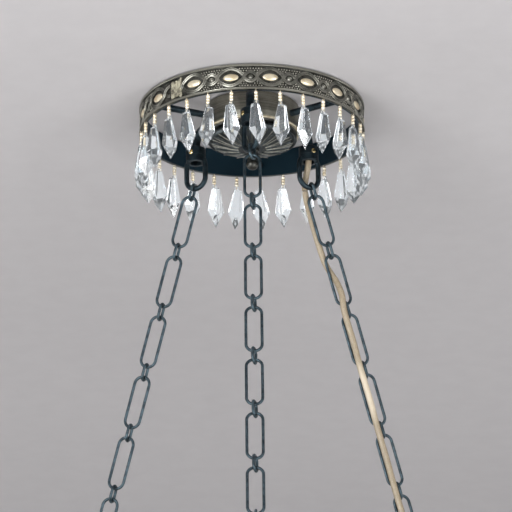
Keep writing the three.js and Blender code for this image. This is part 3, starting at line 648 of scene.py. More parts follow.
def crownCablePoints():
    centre, radial, tangent = (rightChain["hook"]["centre"], rightChain["radial"], rightChain["tangent"])
    lower = [centre + radial * out + tangent * around + up * rise for out, around, rise in cable["hook"]]
    path = stemPoints(rightChain)
    path[0] = polar(19.8, math.degrees(math.atan2(centre.y, centre.x)), stem["z"])
    return evenly(path[:-1] + catmull([path[-1], *lower], 40), 90)


def chainCablePoints():
    points = []
    for down, across, forward in cable["chain"]:
        place = rightChain["first"] + rightChain["along"] * down + rightChain["across"] * across
        points.append(place + rightChain["front"] * forward)
    return catmull(points, 220)


def lampCablePoints():
    points = []
    for radius, around, rise in cable["lamp"]:
        points.append(polar(radius, rightChain["azimuth"], armTop + rise) + rightChain["tangent"] * around)
    return catmull(points, 110)


def addCable(name, points, body, cadNode):
    piece = wire(name, points, cable["radius"], cable["sides"])
    finished(piece, body, finish["cable"], [cadNode])


addCable("crownCable", crownCablePoints(), "crown", "crown_cable")
addCable("chainCable", chainCablePoints(), "right_chain", "chain_cable")
addCable("lampCable", lampCablePoints(), "lamp", "lamp_cable")
print("cables laid")


# Ring bands: moulded rims, and on the face two woven strands round lens ovals, bosses and bead fields

band = {
    "mould": [(0.7, 0), (0.1, 0.4), (0, 0.9), (0.1, 1.3), (0.55, 1.55), (0.1, 1.8), (0, 2.2), (0.35, 2.6),
              (1.1, 2.9), (1.6, 3.05), (1.3, 3.3), (1.4, 3.5), (2.0, 3.7), (2.6, 3.9)],
    "faceDepth": 2.6,
    "overHalf": 15.0,
    "swing": 10.3,
    "bossSwing": 5.9,
    "slant": 0.5,
    "edgeRibs": (1.3, 0.6, 0.46),
    "middleRib": (0, 0.85, -0.62),
    "lift": 0.75,
    "weave": 0.4,
    "lens": (9.2, 4.5, 2.0),
    "boss": [(0, -0.5), (2.6, -0.5), (2.7, 0.35), (2.3, 0.7), (1.95, 0.35), (1.5, 0.85), (0.8, 1.25),
             (0, 1.35)],
    "beadRadius": 0.92,
    "beadRows": [(10.5, (0, 3.1, 6.2, 9.3, 12.4)), (7.9, (4.7, 7.8, 10.6)), (5.4, (7.6,))],
    "seam": {"half": 11.6, "strips": 7, "radius": 1.45, "uneven": 0.34, "stray": 0.2},
}
# Strips of pattern as first oval, pitch, start and end in degrees from the front, and the seams between them
crownStrips = [(-30.6, 20.12, -38.2, 161.0), (-56.4, -20.9, -45.2, -192.0)]
crownSeams = [(-45.0, -38.2), (161.0, 168.0)]
lampOvals = 34


def bandProfile(radius, top, flange=0.0):
    bottom = top - lamp["bandHeight"]
    inner = radius - lamp["bandDepth"]
    outside = [(radius - depth, top - down) for depth, down in band["mould"]]
    mirrored = [(radius - depth, bottom + down) for depth, down in reversed(band["mould"])]
    profile = outside + mirrored + [(inner, bottom)]
    if flange:
        under = top - lamp["flangeThickness"]
        return profile + [(inner, under), (radius - flange, under), (radius - flange, top)]
    return profile + [(inner, top)]


# Points of one strand as arc and height in millimetres and its weave, over the ovals and under the bosses
def strandPath(pitch, low, high, side):
    points = []
    for index in range(math.floor(low / pitch) - 1, math.ceil(high / pitch) + 1):
        for middle, half, swing, steps, count in (
                (index * pitch, band["overHalf"], band["swing"], 16, 2 * index),
                ((index + 0.5) * pitch, pitch / 2 - band["overHalf"], -band["bossSwing"], 12, 2 * index + 1)):
            for step in range(steps):
                angle = math.pi * step / steps
                across = -math.cos(angle)
                arc = middle + half * across
                if low <= arc <= high:
                    arch = math.sin(angle)
                    rise = arch + (math.cos(across * math.pi / 2) - arch) * band["slant"]
                    weave = math.cos(math.pi * (count + step / steps))
                    points.append(Vector((arc, side * swing * rise, side * weave)))
    return points


def strandRibs(name, face, middle, firstAngle, pitch, fromAngle, toAngle):
    perDegree = face * math.pi / 180
    low, high = sorted(((fromAngle - firstAngle) * perDegree, (toAngle - firstAngle) * perDegree))
    ribs = []
    gap, thin, rise = band["edgeRibs"]
    for side in (1, -1):
        path = strandPath(abs(pitch) * perDegree, low, high, side)
        for aside, radius, proud in ((gap, thin, rise), (-gap, thin, rise), band["middleRib"]):
            points = []
            for index, point in enumerate(path):
                run = path[min(index + 1, len(path) - 1)] - path[max(index - 1, 0)]
                length = max(math.hypot(run.x, run.y), 1e-6)
                arc = point.x - aside * run.y / length
                z = point.y + aside * run.x / length
                reach = face + band["lift"] + proud + point.z * band["weave"]
                points.append(polar(reach, 270 + firstAngle + arc / perDegree, middle + z))
            ribs.append(wire(name + "Rib", points, radius, 6))
    return ribs


def lensOval():
    length, height, bulge = band["lens"]
    profile = [(0, -length)]
    for step in range(1, 12):
        along = -1 + 2 * step / 12
        profile.append((height * (1 - along * along) ** 0.62, along * length))
    profile.append((0, length))
    lens = turned("lensOval", profile, 16)
    editAll(lens)
    bpy.ops.transform.resize(value=(bulge / height, 1, 1))
    bpy.ops.object.mode_set(mode="OBJECT")
    return lens


def bossDome():
    return turned("bossDome", band["boss"], 12)


# Outward and sideways directions at a place on the band, and the place
def facing(radius, azimuth, z):
    radial = polar(1, azimuth)
    return radial, up.cross(radial), polar(radius, azimuth, z)


def beadField(face, middle):
    beads = []
    bpy.ops.object.select_all(action="DESELECT")
    bpy.ops.mesh.primitive_ico_sphere_add(subdivisions=1, radius=band["beadRadius"] * mm)
    master = smooth(bpy.context.object, 80)
    for height, offsets in band["beadRows"]:
        for offset in offsets:
            for side in {offset, -offset}:
                for flip in (1, -1):
                    spot = polar(face + 0.25, side / face * 180 / math.pi, middle + flip * height)
                    beads.append(copyOf(master, "bead", Matrix.Translation(spot * mm)))
    removed(master)
    return joined("beadField", beads)


# Where the strip's ends meet: soldered over and rubbed pale, with a ragged outline
def wornSeam(face, middle, low, high, draw):
    seam = band["seam"]
    stray, uneven = seam["stray"], seam["uneven"]
    strips = []
    for index in range(seam["strips"]):
        azimuth = 270 + low + (high - low) * (index + 0.5) / seam["strips"]
        reach = seam["half"] * draw.uniform(1 - uneven, 1)
        points = [polar(face + 0.2, azimuth + draw.uniform(-stray, stray), middle + reach * (step / 4 - 1))
                  for step in range(9)]
        sizes = [draw.uniform(1 - uneven, 1 + uneven) for _ in points]
        strips.append(wire("seam", points, seam["radius"], 8, sizes=sizes))
    return strips


def addBand(prefix, radius, top, strips, seams, body, material, cadNode, flange=0.0):
    face = radius - band["faceDepth"]
    middle = top - lamp["bandHeight"] / 2
    steps = 192 if radius < 200 else 288
    ring = turned(prefix + "Band", bandProfile(radius, top, flange), steps)
    finished(ring, body, material, [cadNode])
    ribs, lenses, bosses, fields = [], [], [], []
    lens, dome, field = lensOval(), bossDome(), beadField(face, middle)
    for firstAngle, pitch, fromAngle, toAngle in strips:
        ribs += strandRibs(prefix, face, middle, firstAngle, pitch, fromAngle, toAngle)
        low, high = sorted((fromAngle, toAngle))
        count = int(abs(toAngle - firstAngle) / abs(pitch)) + 1
        for index in range(-1, count + 1):
            angle = firstAngle + index * pitch
            edge = 0 if high - low >= 359.9 else 2.5
            if low + edge <= angle < high - edge:
                radial, tangent, spot = facing(face + 0.1, 270 + angle, middle)
                lenses.append(copyOf(lens, "lens", basis(radial, -up, tangent, spot)))
            angle += pitch / 2
            if low + edge <= angle < high - edge:
                radial, tangent, spot = facing(face, 270 + angle, middle)
                bosses.append(copyOf(dome, "boss", basis(tangent, up, radial, spot)))
                fields.append(copyOf(field, "field", turnZ(270 + angle)))
    for master in (lens, dome, field):
        removed(master)
    draw = random.Random(prefix + "seam")
    worn = [strip for low, high in seams for strip in wornSeam(face, middle, low, high, draw)]
    if worn:
        finished(joined(prefix + "Patches", worn), body, finish["patch"])
    finished(joined(prefix + "Strands", ribs), body, finish["strand"])
    finished(joined(prefix + "Ovals", lenses), body, finish["oval"])
    finished(joined(prefix + "Bosses", bosses), body, finish["strand"])
    finished(joined(prefix + "Beading", fields), body, finish["beading"])


addBand("crown", lamp["crownRadius"], lamp["crownTop"], crownStrips, crownSeams, "crown",
        finish["crownBand"], "crown_band")
lampPitch = 360 / lampOvals
lampStrip = (0, lampPitch, -lampPitch / 2, 360 - lampPitch / 2)
addBand("lamp", lamp["lampRadius"], flangeTop, [lampStrip], [], "lamp",
        finish["lampBand"], "lamp_band", lamp["flangeWidth"])
print("bands made")


# Crystal drops: a wire loop in the band's lip, three beads on a pin, and a cut icicle on the lower loop

drop = {
    "crownCount": 29,
    "lampCount": 52,
    "first": 272.2,
    "beads": (-3.6, -7.4, -11.0),
    "beadRadius": 2.4,
    "wire": 0.38,
    "lipLoop": (-1.1, 1.6),
    "glassLoop": (-14.9, 2.1),
    "waist": -48.8,
    "tip": -67.6,
    "halfWidth": 9.9,
    "halfDepth": 8.0,
    "neck": -18.2,
    "neckWidth": 4.8,
    "neckDepth": 3.4,
    "tipStart": 2,
    "sideFlat": 1.5,
    "frontFlat": 4.4,
    "neckFlat": 0.7,
    "facet": (7.5, 3),
    "eyelet": (-15.8, 2.6, 1.35),
    "aside": 1.7,
    "lean": -3.2,
    "turn": 9.0,
    "tilt": 2.0,
}


# Cut off all that lies outside the plane through three points, seen from the middle of the icicle
def bisected(obj, one, two, three):
    normal = (two - one).cross(three - one).normalized()
    middle = Vector((0, 0, (drop["neck"] + drop["tip"]) / 2))
    if normal.dot(middle - one) > 0:
        normal = -normal
    editAll(obj)
    bpy.ops.mesh.bisect(plane_co=one * mm, plane_no=normal, use_fill=True, clear_outer=True, threshold=1e-7)
    bpy.ops.object.mode_set(mode="OBJECT")


def cutIcicle():
    wide, deep, waist, tipZ = drop["halfWidth"], drop["halfDepth"], drop["waist"], drop["tip"]
    neckWide, neckDeep, neck = drop["neckWidth"], drop["neckDepth"], drop["neck"]
    tipStart, (facetDown, facetUp) = waist + drop["tipStart"], drop["facet"]
    icicle = boxOf((2 * wide, 2 * deep, neck - tipZ), (0, 0, (neck + tipZ) / 2))
    for side in (1, -1):
        out, front = side * wide, side * deep
        cuts = [
            ((out, -1, waist), (out, 1, waist), (side * neckWide, 0, neck)),
            ((out, -1, tipStart), (out, 1, tipStart), (0, 0, tipZ)),
            ((-1, front, waist), (1, front, waist), (0, side * neckDeep, neck)),
        ]
        for hand in (1, -1):
            edge, flat = hand * wide, side * drop["sideFlat"]
            top = (hand * neckWide, side * drop["neckFlat"], neck)
            cuts.append(((edge, flat, waist), (hand * drop["frontFlat"], front, waist), top))
            cuts.append(((0, front, waist - facetDown), (edge, flat, waist + facetUp), (0, 0, tipZ)))
        for corners in cuts:
            bisected(icicle, *(Vector(corner) for corner in corners))
    height, radius, bore = drop["eyelet"]
    hole = Matrix.Translation((0, 0, height * mm))
    lie = hole @ Matrix.Rotation(math.pi / 2, 4, "X")
    bpy.ops.mesh.primitive_cylinder_add(vertices=18, radius=radius * mm, depth=2.4 * mm)
    lobe = placed(bpy.context.object, lie)
    icicle.data.transform(Matrix.Translation((-drop["aside"] * mm, 0, 0)))
    cut(icicle, lobe, "UNION")
    bpy.ops.mesh.primitive_cylinder_add(vertices=12, radius=bore * mm, depth=12 * mm)
    cut(icicle, placed(bpy.context.object, lie))
    tidyMesh(icicle)
    icicle.data.transform(hole @ Matrix.Rotation(math.radians(drop["lean"]), 4, "Y") @ hole.inverted())
    only(icicle)
    bpy.ops.object.shade_flat()
    return icicle


def beadedPin():
    bpy.ops.object.select_all(action="DESELECT")
    beads = []
    for height in drop["beads"]:
        bpy.ops.mesh.primitive_uv_sphere_add(segments=10, ring_count=7, radius=drop["beadRadius"] * mm,
                                             location=(0, 0, height * mm))
        bead = bpy.context.object
        beads.append(smooth(placed(bead, bead.matrix_world.copy()), 80))
    loops = []
    angles = [step * math.pi / 6 for step in range(12)]
    for z, radius in (drop["lipLoop"], drop["glassLoop"]):
        circle = [Vector((0, radius * math.cos(angle), z + radius * math.sin(angle))) for angle in angles]
        loops.append(wire("loop", circle, drop["wire"], 6, closed=True))
    low = drop["glassLoop"][0] + drop["glassLoop"][1]
    high = drop["lipLoop"][0] - drop["lipLoop"][1]
    loops.append(wire("shank", [Vector((0, 0, high)), Vector((0, 0, low))], drop["wire"], 6))
    return joined("beads", beads), joined("pin", loops)


def hangDrops(prefix, count, radius, lip, body, cadNode):
    draw = random.Random(prefix + "drops")
    icicle, (beads, pin) = cutIcicle(), beadedPin()
    crystals, beadSets, pins = [], [], []
    for index in range(count):
        azimuth = drop["first"] + index * 360 / count
        spot = turnZ(azimuth + 90, polar(radius - lamp["bandDepth"] / 2, azimuth, lip))
        pinSwing = Matrix.Rotation(math.radians(draw.uniform(-drop["tilt"], drop["tilt"])), 4, "Y")
        hang = Matrix.Translation((0, 0, drop["eyelet"][0] * mm))
        swing = Matrix.Rotation(math.radians(draw.uniform(-drop["tilt"], drop["tilt"])), 4, "Y")
        turn = draw.uniform(-drop["turn"], drop["turn"]) + draw.choice((0, 180))
        swing = swing @ Matrix.Rotation(math.radians(turn), 4, "Z")
        beadSets.append(copyOf(beads, "beads", spot @ pinSwing))
        pins.append(copyOf(pin, "pin", spot @ pinSwing))
        crystals.append(copyOf(icicle, "crystal", spot @ pinSwing @ hang @ swing @ hang.inverted()))
    for master in (icicle, beads, pin):
        removed(master)
    finished(joined(prefix + "Crystals", crystals), body, finish["crystal"], [cadNode])
    finished(joined(prefix + "Beads", beadSets), body, finish["pin"])
    finished(joined(prefix + "Pins", pins), body, finish["pin"])


hangDrops("crown", drop["crownCount"], lamp["crownRadius"], lamp["crownTop"] - lamp["bandHeight"], "crown",
          "crown_drops")
hangDrops("lamp", drop["lampCount"], lamp["lampRadius"], flangeTop - lamp["bandHeight"], "lamp", "lamp_drops")
print("drops hung")


# Ceiling plate, cup, rosette, finial and the bars of the crown

cup = {
    "wall": [(54.5, -0.8), (54.5, -31.2), (53.1, -31.2), (53.1, -0.8)],
    "edge": [(53.0, -30.4), (54.6, -30.4), (55.0, -31.0), (55.0, -32.2), (54.4, -32.8), (51.8, -33.0),
             (51.2, -32.6), (53.0, -32.0)],
    "step": [(52.2, -31.4), (52.0, -33.0), (50.6, -34.6), (47.2, -35.6), (46.0, -36.2), (46.0, -37.2),
             (45.2, -37.9), (5.5, -37.9), (5.5, -36.5), (44.6, -36.5), (44.6, -35.4), (49.6, -34.0),
             (51.0, -31.4)],
    "finial": [(0, -75.8), (2.4, -75.6), (4.4, -74.8), (6.0, -73.3), (6.8, -71.2), (6.9, -69.2), (6.3, -67.2),
               (5.7, -66.0), (5.6, -63.0), (6.0, -60.6), (6.9, -58.6), (7.1, -57.4), (6.6, -56.3),
               (6.2, -55.4), (7.0, -54.4), (8.1, -53.4), (8.1, -51.8), (7.6, -50.9), (0, -50.9)],
    "plate": [(5.5, 0), (47, 0), (47, -3), (5.5, -3)],
    "slotReach": 34,
}
rosette = {
    "hub": 14.5,
    "radius": 51.5,
    "top": -38.2,
    "edge": 2.4,
    "depth": 10.0,
    "bulge": 1.4,
    "wall": 2.0,
    "petals": 16,
    "petalWidth": 5.6,
    "petalLift": 0.95,
    "veinRadius": 0.42,
}
bars = {
    "hub": [(5.5, -22.6), (12.2, -22.6), (13, -21.8), (13, -19.4), (12.4, -18.6), (13, -17.8), (13, -15.4),
            (12.2, -14.6), (5.5, -14.6)],
    "azimuths": (87, 207, 327),
    "start": 11,
    "length": 113.2,
    "z": -18.6,
    "radius": 4.0,
    "rootWeld": (1.3, 1.15, 1.04),
    "endWeld": (1.04, 1.2, 1.5),
}


# A point of the dome and its outward normal, from 0 at the hub to 1 at the rim
def domePlace(share):
    width = rosette["radius"] - rosette["hub"]
    deep = rosette["top"] - rosette["edge"] - rosette["depth"]
    slope = rosette["depth"] * rosette["bulge"] * share ** (rosette["bulge"] - 1) / width
    place = Vector((rosette["hub"] + width * share, 0, deep + rosette["depth"] * share ** rosette["bulge"]))
    return place, Vector((slope, 0, -1)).normalized()


def addRosette():
    hub, rim, top, wall = rosette["hub"], rosette["radius"], rosette["top"], rosette["wall"]
    deep = top - rosette["edge"] - rosette["depth"]
    profile = [(5.5, deep), (hub - 1.6, deep), (hub - 1.2, deep + 0.5), (hub, deep + 0.5)]
    profile += [(place.x, place.z + 0.5) for place, _ in (domePlace(step / 14) for step in range(1, 13))]
    profile += [(rim - 3.4, top - 1.0), (rim - 2.4, top - 1.0), (rim - 1.9, top - 2.1),
                (rim - 0.9, top - 2.4), (rim - 0.1, top - 1.9), (rim, top - 0.4), (rim - 0.3, top),
                (rim - wall, top), (hub + wall, deep + 2 * wall), (5.5, deep + wall)]
    parts = [turned("rosetteDome", profile, 120)]
    petalPath, petalSizes, veinPath = [], [], []
    for step in range(15):
        share = step / 14
        place, normal = domePlace(0.05 + 0.77 * share)
        size = math.sin(math.pi * min(share * 0.9 + 0.1, 1)) ** 0.7
        width = rosette["petalWidth"] * max(size, 0.12) * (0.5 + 0.85 * share)
        petalSizes.append(width / rosette["petalWidth"])
        petalPath.append(place - normal * (width - min(rosette["petalLift"], width)))
        place, normal = domePlace(0.04 + 0.82 * share)
        veinPath.append(place - normal * 0.35)
    petal = wire("petal", petalPath, rosette["petalWidth"], 12, sizes=petalSizes)
    vein = wire("vein", veinPath, rosette["veinRadius"], 6)
    midrib = copyOf(vein, "midrib")
    midrib.data.transform(Matrix.Translation((0.0003, 0, -0.0012)))
    lines = []
    for index in range(rosette["petals"]):
        turn = 360 * index / rosette["petals"]
        parts.append(copyOf(petal, "petal", turnZ(turn)))
        lines.append(copyOf(midrib, "midrib", turnZ(turn)))
        lines.append(copyOf(vein, "vein", turnZ(turn + 180 / rosette["petals"])))
    for master in (petal, vein, midrib):
        removed(master)
    finished(joined("rosetteLeaves", parts), "crown", finish["rosette"], ["rosette"])
    finished(joined("rosetteLines", lines), "crown", finish["strand"])


def addCup():
    wall = turned("cupWall", cup["wall"], 160, 0.2)
    finished(wall, "crown", finish["cup"], ["canopy_cup"])
    # Painted highlight: the cup's rolled lip takes the pale cream brass of the ovals instead of the cup's
    # brushed brass
    finished(turned("cupEdge", cup["edge"], 160), "crown", finish["oval"])
    # Painted shade: the cup's step and floor, between the lip and the rosette, take a darker brass than the
    # wall; the finial reuses that darker brass
    finished(turned("cupStep", cup["step"], 160, 0.2), "crown", finish["step"])
    finished(turned("finialKnob", cup["finial"], 48), "crown", finish["step"], ["finial"])
    plate = turned("ceilingPlate", cup["plate"], 96, 0.4)
    for side in (1, -1):
        slot = boxOf((14, 5, 12), (side * cup["slotReach"], 0, 0))
        rounded(slot, 2.2, 4, 60)
        cut(plate, slot)
    finished(smooth(plate), "crown", finish["steel"], ["ceiling_plate"])


def addBars():
    parts = [turned("hub", bars["hub"], 48)]
    for azimuth in bars["azimuths"]:
        path = [polar(bars["start"] + bars["length"] * step / 24, azimuth, bars["z"]) for step in range(25)]
        sizes = [*bars["rootWeld"], *([1.0] * 19), *bars["endWeld"]]
        parts.append(wire("bar", path, bars["radius"], 20, sizes=sizes))
    finished(joined("crownBars", parts), "crown", finish["black"], ["ring_spider"])


addRosette()
addCup()
addBars()
print("crown centre made")


# Hooks: hollow stems, collars with slotted set screws, and thick loops

hook = {
    "collar": [(6.75, 0), (10.8, 0), (11.4, 0.6), (11.4, 7.9), (10.8, 8.3), (10.8, 8.9), (11.4, 9.3),
               (11.4, 16.8), (11, 17.6), (10.3, 18), (5.85, 18), (5.85, 9.4), (6.75, 9.4)],
    "root": 9.0,
    "rootDepth": 3.4,
    "shoulder": 7.0,
    "screw": [(0, -3), (1.8, -3), (1.8, 0), (2.5, 0), (2.7, 0.3), (2.7, 0.8), (2.2, 1.15), (1.2, 1.4),
              (0, 1.45)],
    "screwAbove": 10.6,
    "screwReach": 10.8,
    "slotTurn": {"front": 20, "left": 35, "right": 62},
}


# Collar and loop about the loop's arc centre, X across the loop and the collar above it
def collarAndLoop(name, wireSize, stretch=0.0):
    collar = [(r, collarToArc + z + (stretch if z > 9 else 0)) for r, z in hook["collar"]]
    parts = [turned(name, collar, 56)]
    arc = (lamp["loopWidth"] - wireSize) / 2
    shoulder = collarToArc - hook["shoulder"]
    root = collarToArc + hook["rootDepth"]
    right = []
    for step in range(9):
        angle = math.radians(90 * step / 8)
        right.append((hook["root"] + (arc - hook["root"]) * math.sin(angle),
                      shoulder + (root - shoulder) * math.cos(angle)))
    turns = [math.radians(6 * step) for step in range(31)]
    bottom = [(arc * math.cos(angle), -arc * math.sin(angle)) for angle in turns]
    path = right + bottom + [(-across, z) for across, z in reversed(right)]
    points = [Vector((across, 0, z)) for across, z in path]
    parts.append(wire("loop", points, wireSize / 2, 20))
    return joined(name, parts)


def loopBasis(seat, upsideDown=False):
    z = -up if upsideDown else up
    return basis(seat["plane"], z.cross(seat["plane"]), z, seat["centre"])


def setScrew(chain):
    screw = turned("screw", hook["screw"], 32)
    cut(screw, placed(boxOf((8, 0.85, 1.5), (0, 0, 1.45)), turnZ(hook["slotTurn"][chain["name"]])))
    y = up.cross(chain["hook"]["plane"]) * chain["screwSide"]
    height = chain["hook"]["centre"] + up * (collarToArc + hook["screwAbove"])
    return placed(smooth(screw), basis(up.cross(y), up, y, height + y * hook["screwReach"]))


for chain in chains:
    name = chain["name"]
    tube = wire(name + "Stem", stemPoints(chain), stem["radius"], 24, caps=False)
    applied(tube, "SOLIDIFY", thickness=stem["wall"] * mm, offset=-1)
    finished(smooth(tube), "crown", finish["black"], [name + "_hook_stem"])
    eye = placed(collarAndLoop(name + "Hook", lamp["hookWire"]), loopBasis(chain["hook"]))
    finished(eye, "crown", finish["black"], [name + "_hook_eye"])
    screw = setScrew(chain)
    screw.name = name + "Screw"
    finished(screw, "crown", finish["polished"], [name + "_set_screw"])
print("hooks made")


# Chains: long open-jointed links and small rings

links = {
    "steps": 14,
    "joint": 0.16,
    "sides": 14,
    "middle": 36.15,
    "endRaise": 0.5,
    "ringTurn": {"front": 18, "left": 0, "right": 0},
}


def ovalPoints(length, width):
    radius = (width - lamp["chainWire"]) / 2
    half = (length - width) / 2
    points = [(-radius, links["joint"] / 2)]
    for step in range(links["steps"] + 1):
        angle = math.pi * step / links["steps"]
        points.append((-radius * math.cos(angle), half + radius * math.sin(angle)))
    for step in range(links["steps"] + 1):
        angle = math.pi * step / links["steps"]
        points.append((radius * math.cos(angle), -half - radius * math.sin(angle)))
    points.append((-radius, -links["joint"] / 2))
    return [Vector((x, 0, z)) for x, z in points]


def ovalLink(name, length, width):
    return wire(name, ovalPoints(length, width), lamp["chainWire"] / 2, links["sides"])


linkMaster = ovalLink("linkMaster", lamp["linkLength"], lamp["linkWidth"])
ringMaster = ovalLink("ringMaster", lamp["ringLength"], lamp["ringWidth"])


def onChain(master, name, chain, x, centre):
    z = -chain["along"]
    return copyOf(master, name, basis(x, z.cross(x), z, centre))


for chain in chains:
    name = chain["name"]
    ringX = Matrix.Rotation(math.radians(links["ringTurn"][name]), 3, chain["along"]) @ chain["front"]
    topX = endX = chain["front"]
    if chain["topRingTurn"] is not None:
        topX = Matrix.Rotation(math.radians(chain["topRingTurn"]), 3, chain["along"]) @ chain["outward"]
    top = onChain(ringMaster, name + "TopRing", chain, topX, chain["first"])
    finished(top, name + "_ring", finish["chain"], [name + "_top_ring"])
    for index in range(1, lamp["pitches"] + 1):
        last = index == lamp["pitches"]
        upper = chain["first"] + chain["along"] * lamp["pitch"] * (index - 1)
        middle = upper + chain["along"] * links["middle"]
        link = onChain(linkMaster, f"{name}Link{index}", chain, chain["across"], middle)
        finished(link, name + "_chain", finish["chain"], [f"{name}_link_{index}"])
        alone = chain is rightChain and last
        down = lamp["pitch"] * index - (links["endRaise"] if alone else 0)
        lower = chain["first"] + chain["along"] * down
        ring = onChain(ringMaster, f"{name}Ring{index}", chain, endX if last else ringX, lower)
        finished(ring, "right_end" if alone else name + "_chain", finish["chain"],
                 ["right_end_ring"] if alone else [])
removed(linkMaster)
removed(ringMaster)
print("chains hung")


# Lower lamp: eyes with studs, hub and arms, lampholders with bulbs, the glass bowl and its cap

body = {
    "hubTop": armTop + 13,
    "hubBottom": armTop - 36,
    "hub": 30.0,
    "armWidth": 16.0,
    "armReach": 240.6,
    "holderZ": armTop - 18,
    "bowlDrop": 4,
    "bowlRadius": 222.0,
    "bowlDepth": 102.0,
    "bowlWall": 4.0,
    "bowlHole": 6.5,
    "cap": 17.0,
    "capHeight": 16.0,
}
bowlRim = armBottom - body["bowlDrop"]
bowlBottom = bowlRim - body["bowlDepth"]


def addLampEye(chain):
    name = chain["name"]
    stretch = chain["eye"]["centre"].z - lowestEye
    eye = collarAndLoop(name + "Eye", lamp["eyeWire"], stretch)
    end = collarToArc + collarHeight + stretch
    stud = turned("stud", [(0, end - 9), (4.6, end - 9), (4.6, end + 0.3), (5, end + 0.3), (5, end + 11.6),
                           (4.2, end + 12.1), (0, end + 12.1)], 32)
    nut = turned("nut", [(5, end + 6.7), (8.6, end + 6.7), (9, end + 7.1), (9, end + 10.3), (8.6, end + 10.7),
                         (5, end + 10.7)], 6)
    eye = placed(joined(name + "Eye", [eye, stud, nut]), loopBasis(chain["eye"], True))
    finished(eye, "lamp", finish["black"], [name + "_lamp_eye"])


def addHub():
    top, bottom, r = body["hubTop"], body["hubBottom"], body["hub"]
    studEnd = bowlBottom - body["capHeight"] / 2
    profile = [(0, studEnd), (4.4, studEnd), (5, studEnd + 0.6), (5, bottom), (r - 4, bottom),
               (r - 1, bottom + 1.2), (r, bottom + 3.4), (r - 1.6, bottom + 6), (r - 1.6, top - 8),
               (r, top - 5.6), (r - 0.6, top - 2), (r - 5, top - 0.4), (10, top), (0, top)]
    parts = [turned("lampHub", profile, 96)]
    width, start = body["armWidth"], r - 4
    reach = math.sqrt(body["armReach"] ** 2 - (width / 2) ** 2)
    for chain in chains:
        middle = ((reach + start) / 2, 0, (armTop + armBottom) / 2)
        arm = boxOf((reach - start, width, lamp["armThickness"]), middle)
        parts.append(placed(rounded(arm, 0.7, 3), turnZ(chain["azimuth"])))
    finished(joined("lampHub", parts), "lamp", finish["black"], ["lamp_spider"])


def pointOut(azimuth):
    return turnZ(azimuth, Vector((0, 0, body["holderZ"]))) @ Matrix.Rotation(math.pi / 2, 4, "Y")


def holderProfile():
    start, r, bore = body["hub"] - 1.2, 18, 14
    ribs = []
    for index in range(6):
        at = start + 14 + index * 3.4
        ribs += [(r, at), (r - 0.9, at + 0.5), (r - 0.9, at + 1.3), (r, at + 1.8)]
    return [(0, start), (bore, start), (r - 1, start + 5), (r, start + 7), *ribs, (r, start + 36),
            (r - 1, start + 36.8), (r - 1, start + 38.6), (r, start + 39.4), (r, start + 43),
            (r - 0.6, start + 43.5), (bore, start + 43.5), (bore, start + 19.4), (0, start + 19.4)]


def bulbProfile():
    start = body["hub"] + 18.3
    neck = start + 24.3
    middle = neck + 54
    profile = [(0, start), (12.6, start)]
    for thread in range(4):
        profile += [(12.8, start + 3 + thread * 5), (11.9, start + 5.5 + thread * 5)]
    profile += [(12.8, neck), (13.4, neck + 3)]
    for step in range(1, 10):
        share = step / 10
        profile.append((13.4 + 16.0 * (3 * share ** 2 - 2 * share ** 3) ** 0.85, neck + 3 + share * 42))
    for step in range(13):
        angle = math.radians(-14 + 104 * step / 12)
        profile.append((30 * math.cos(angle) if step < 12 else 0, middle + 30 * math.sin(angle)))
    return profile


def addBowl():
    sphere = (body["bowlRadius"] ** 2 + body["bowlDepth"] ** 2) / (2 * body["bowlDepth"])
    centre = bowlBottom + sphere
    inside = sphere - body["bowlWall"]
    first = math.asin(body["bowlHole"] / sphere)
    last = math.asin(body["bowlRadius"] / sphere)
    outer, inner = [], []
    for step in range(29):
        angle = first + (last - first) * step / 28
        outer.append((sphere * math.sin(angle), centre - sphere * math.cos(angle)))
        inner.append((max(inside * math.sin(angle), body["bowlHole"]), centre - inside * math.cos(angle)))
    bowl = turned("glassBowl", outer + inner[::-1], 192)
    finished(rounded(bowl, 1.2, 3, 50), "lamp", finish["bowl"], ["glass_bowl"])
    top, r, high = bowlBottom - seatGap, body["cap"], body["capHeight"]
    low = top - high
    profile = [(0, low), (2.6, low), (3.8, low + 0.9), (4.3, low + 2.2), (3.6, low + 3.6), (4.4, low + 4.4),
               (6.6, top - high * 0.66), (7.2, top - high * 0.6), (11, top - high * 0.47),
               (14, top - high * 0.33), (r - 0.8, top - high * 0.27), (r, top - high * 0.2), (r, top - 1.0),
               (r - 0.7, top - 0.3), (r - 2, top), (0, top)]
    finished(turned("bowlCap", profile, 72), "lamp", finish["oval"], ["bowl_cap"])


for chain in chains:
    addLampEye(chain)
addHub()
for index, azimuth in enumerate((330, 210, 90)):
    holder = placed(turned(f"lampholder{index + 1}", holderProfile(), 64), pointOut(azimuth))
    finished(holder, "lamp", finish["holder"], [f"lampholder_{index + 1}"])
    bulb = placed(turned(f"bulb{index + 1}", bulbProfile(), 56), pointOut(azimuth))
    finished(bulb, "lamp", finish["bulb"], [f"bulb_{index + 1}"])
addBowl()
print("lower lamp made")


# The CAD pieces that stay get finishes of their own

for name, key in (("threaded_rod", "polished"), ("terminal_block", "block")):
    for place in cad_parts[name].material_slots:
        place.material = finish[key]


# Stage: a pale ceiling seen from below, a pale floor seen from above, soft lamps and a pale surrounding

stage = {
    "ceilingColour": (190, 188, 190),
    "floorColour": (230, 229, 227),
    "ceilingGlow": (0.02, 0.42, 0, 0.4),
    "floorGlow": (0.5, 0.12, 0.1, 0.4),
    "farFrom": 1.6,
    "farTo": 7.0,
    "ceilingZ": 0.001,
    "floorZ": -2.6,
    "size": 30.0,
    "surround": (225, 225, 226),
    "surroundLight": 0.85,
    "lamps": [
        ((-2.9, -4.2, -1.3), 2.4, 195),
        ((3.4, -3.6, -1.6), 2.0, 95),
        ((0.3, -1.4, -2.5), 2.2, 27),
        ((-2.7, 0.9, -1.5), 1.2, 13),
        ((2.8, 0.7, -1.5), 1.2, 13),
    ],
}


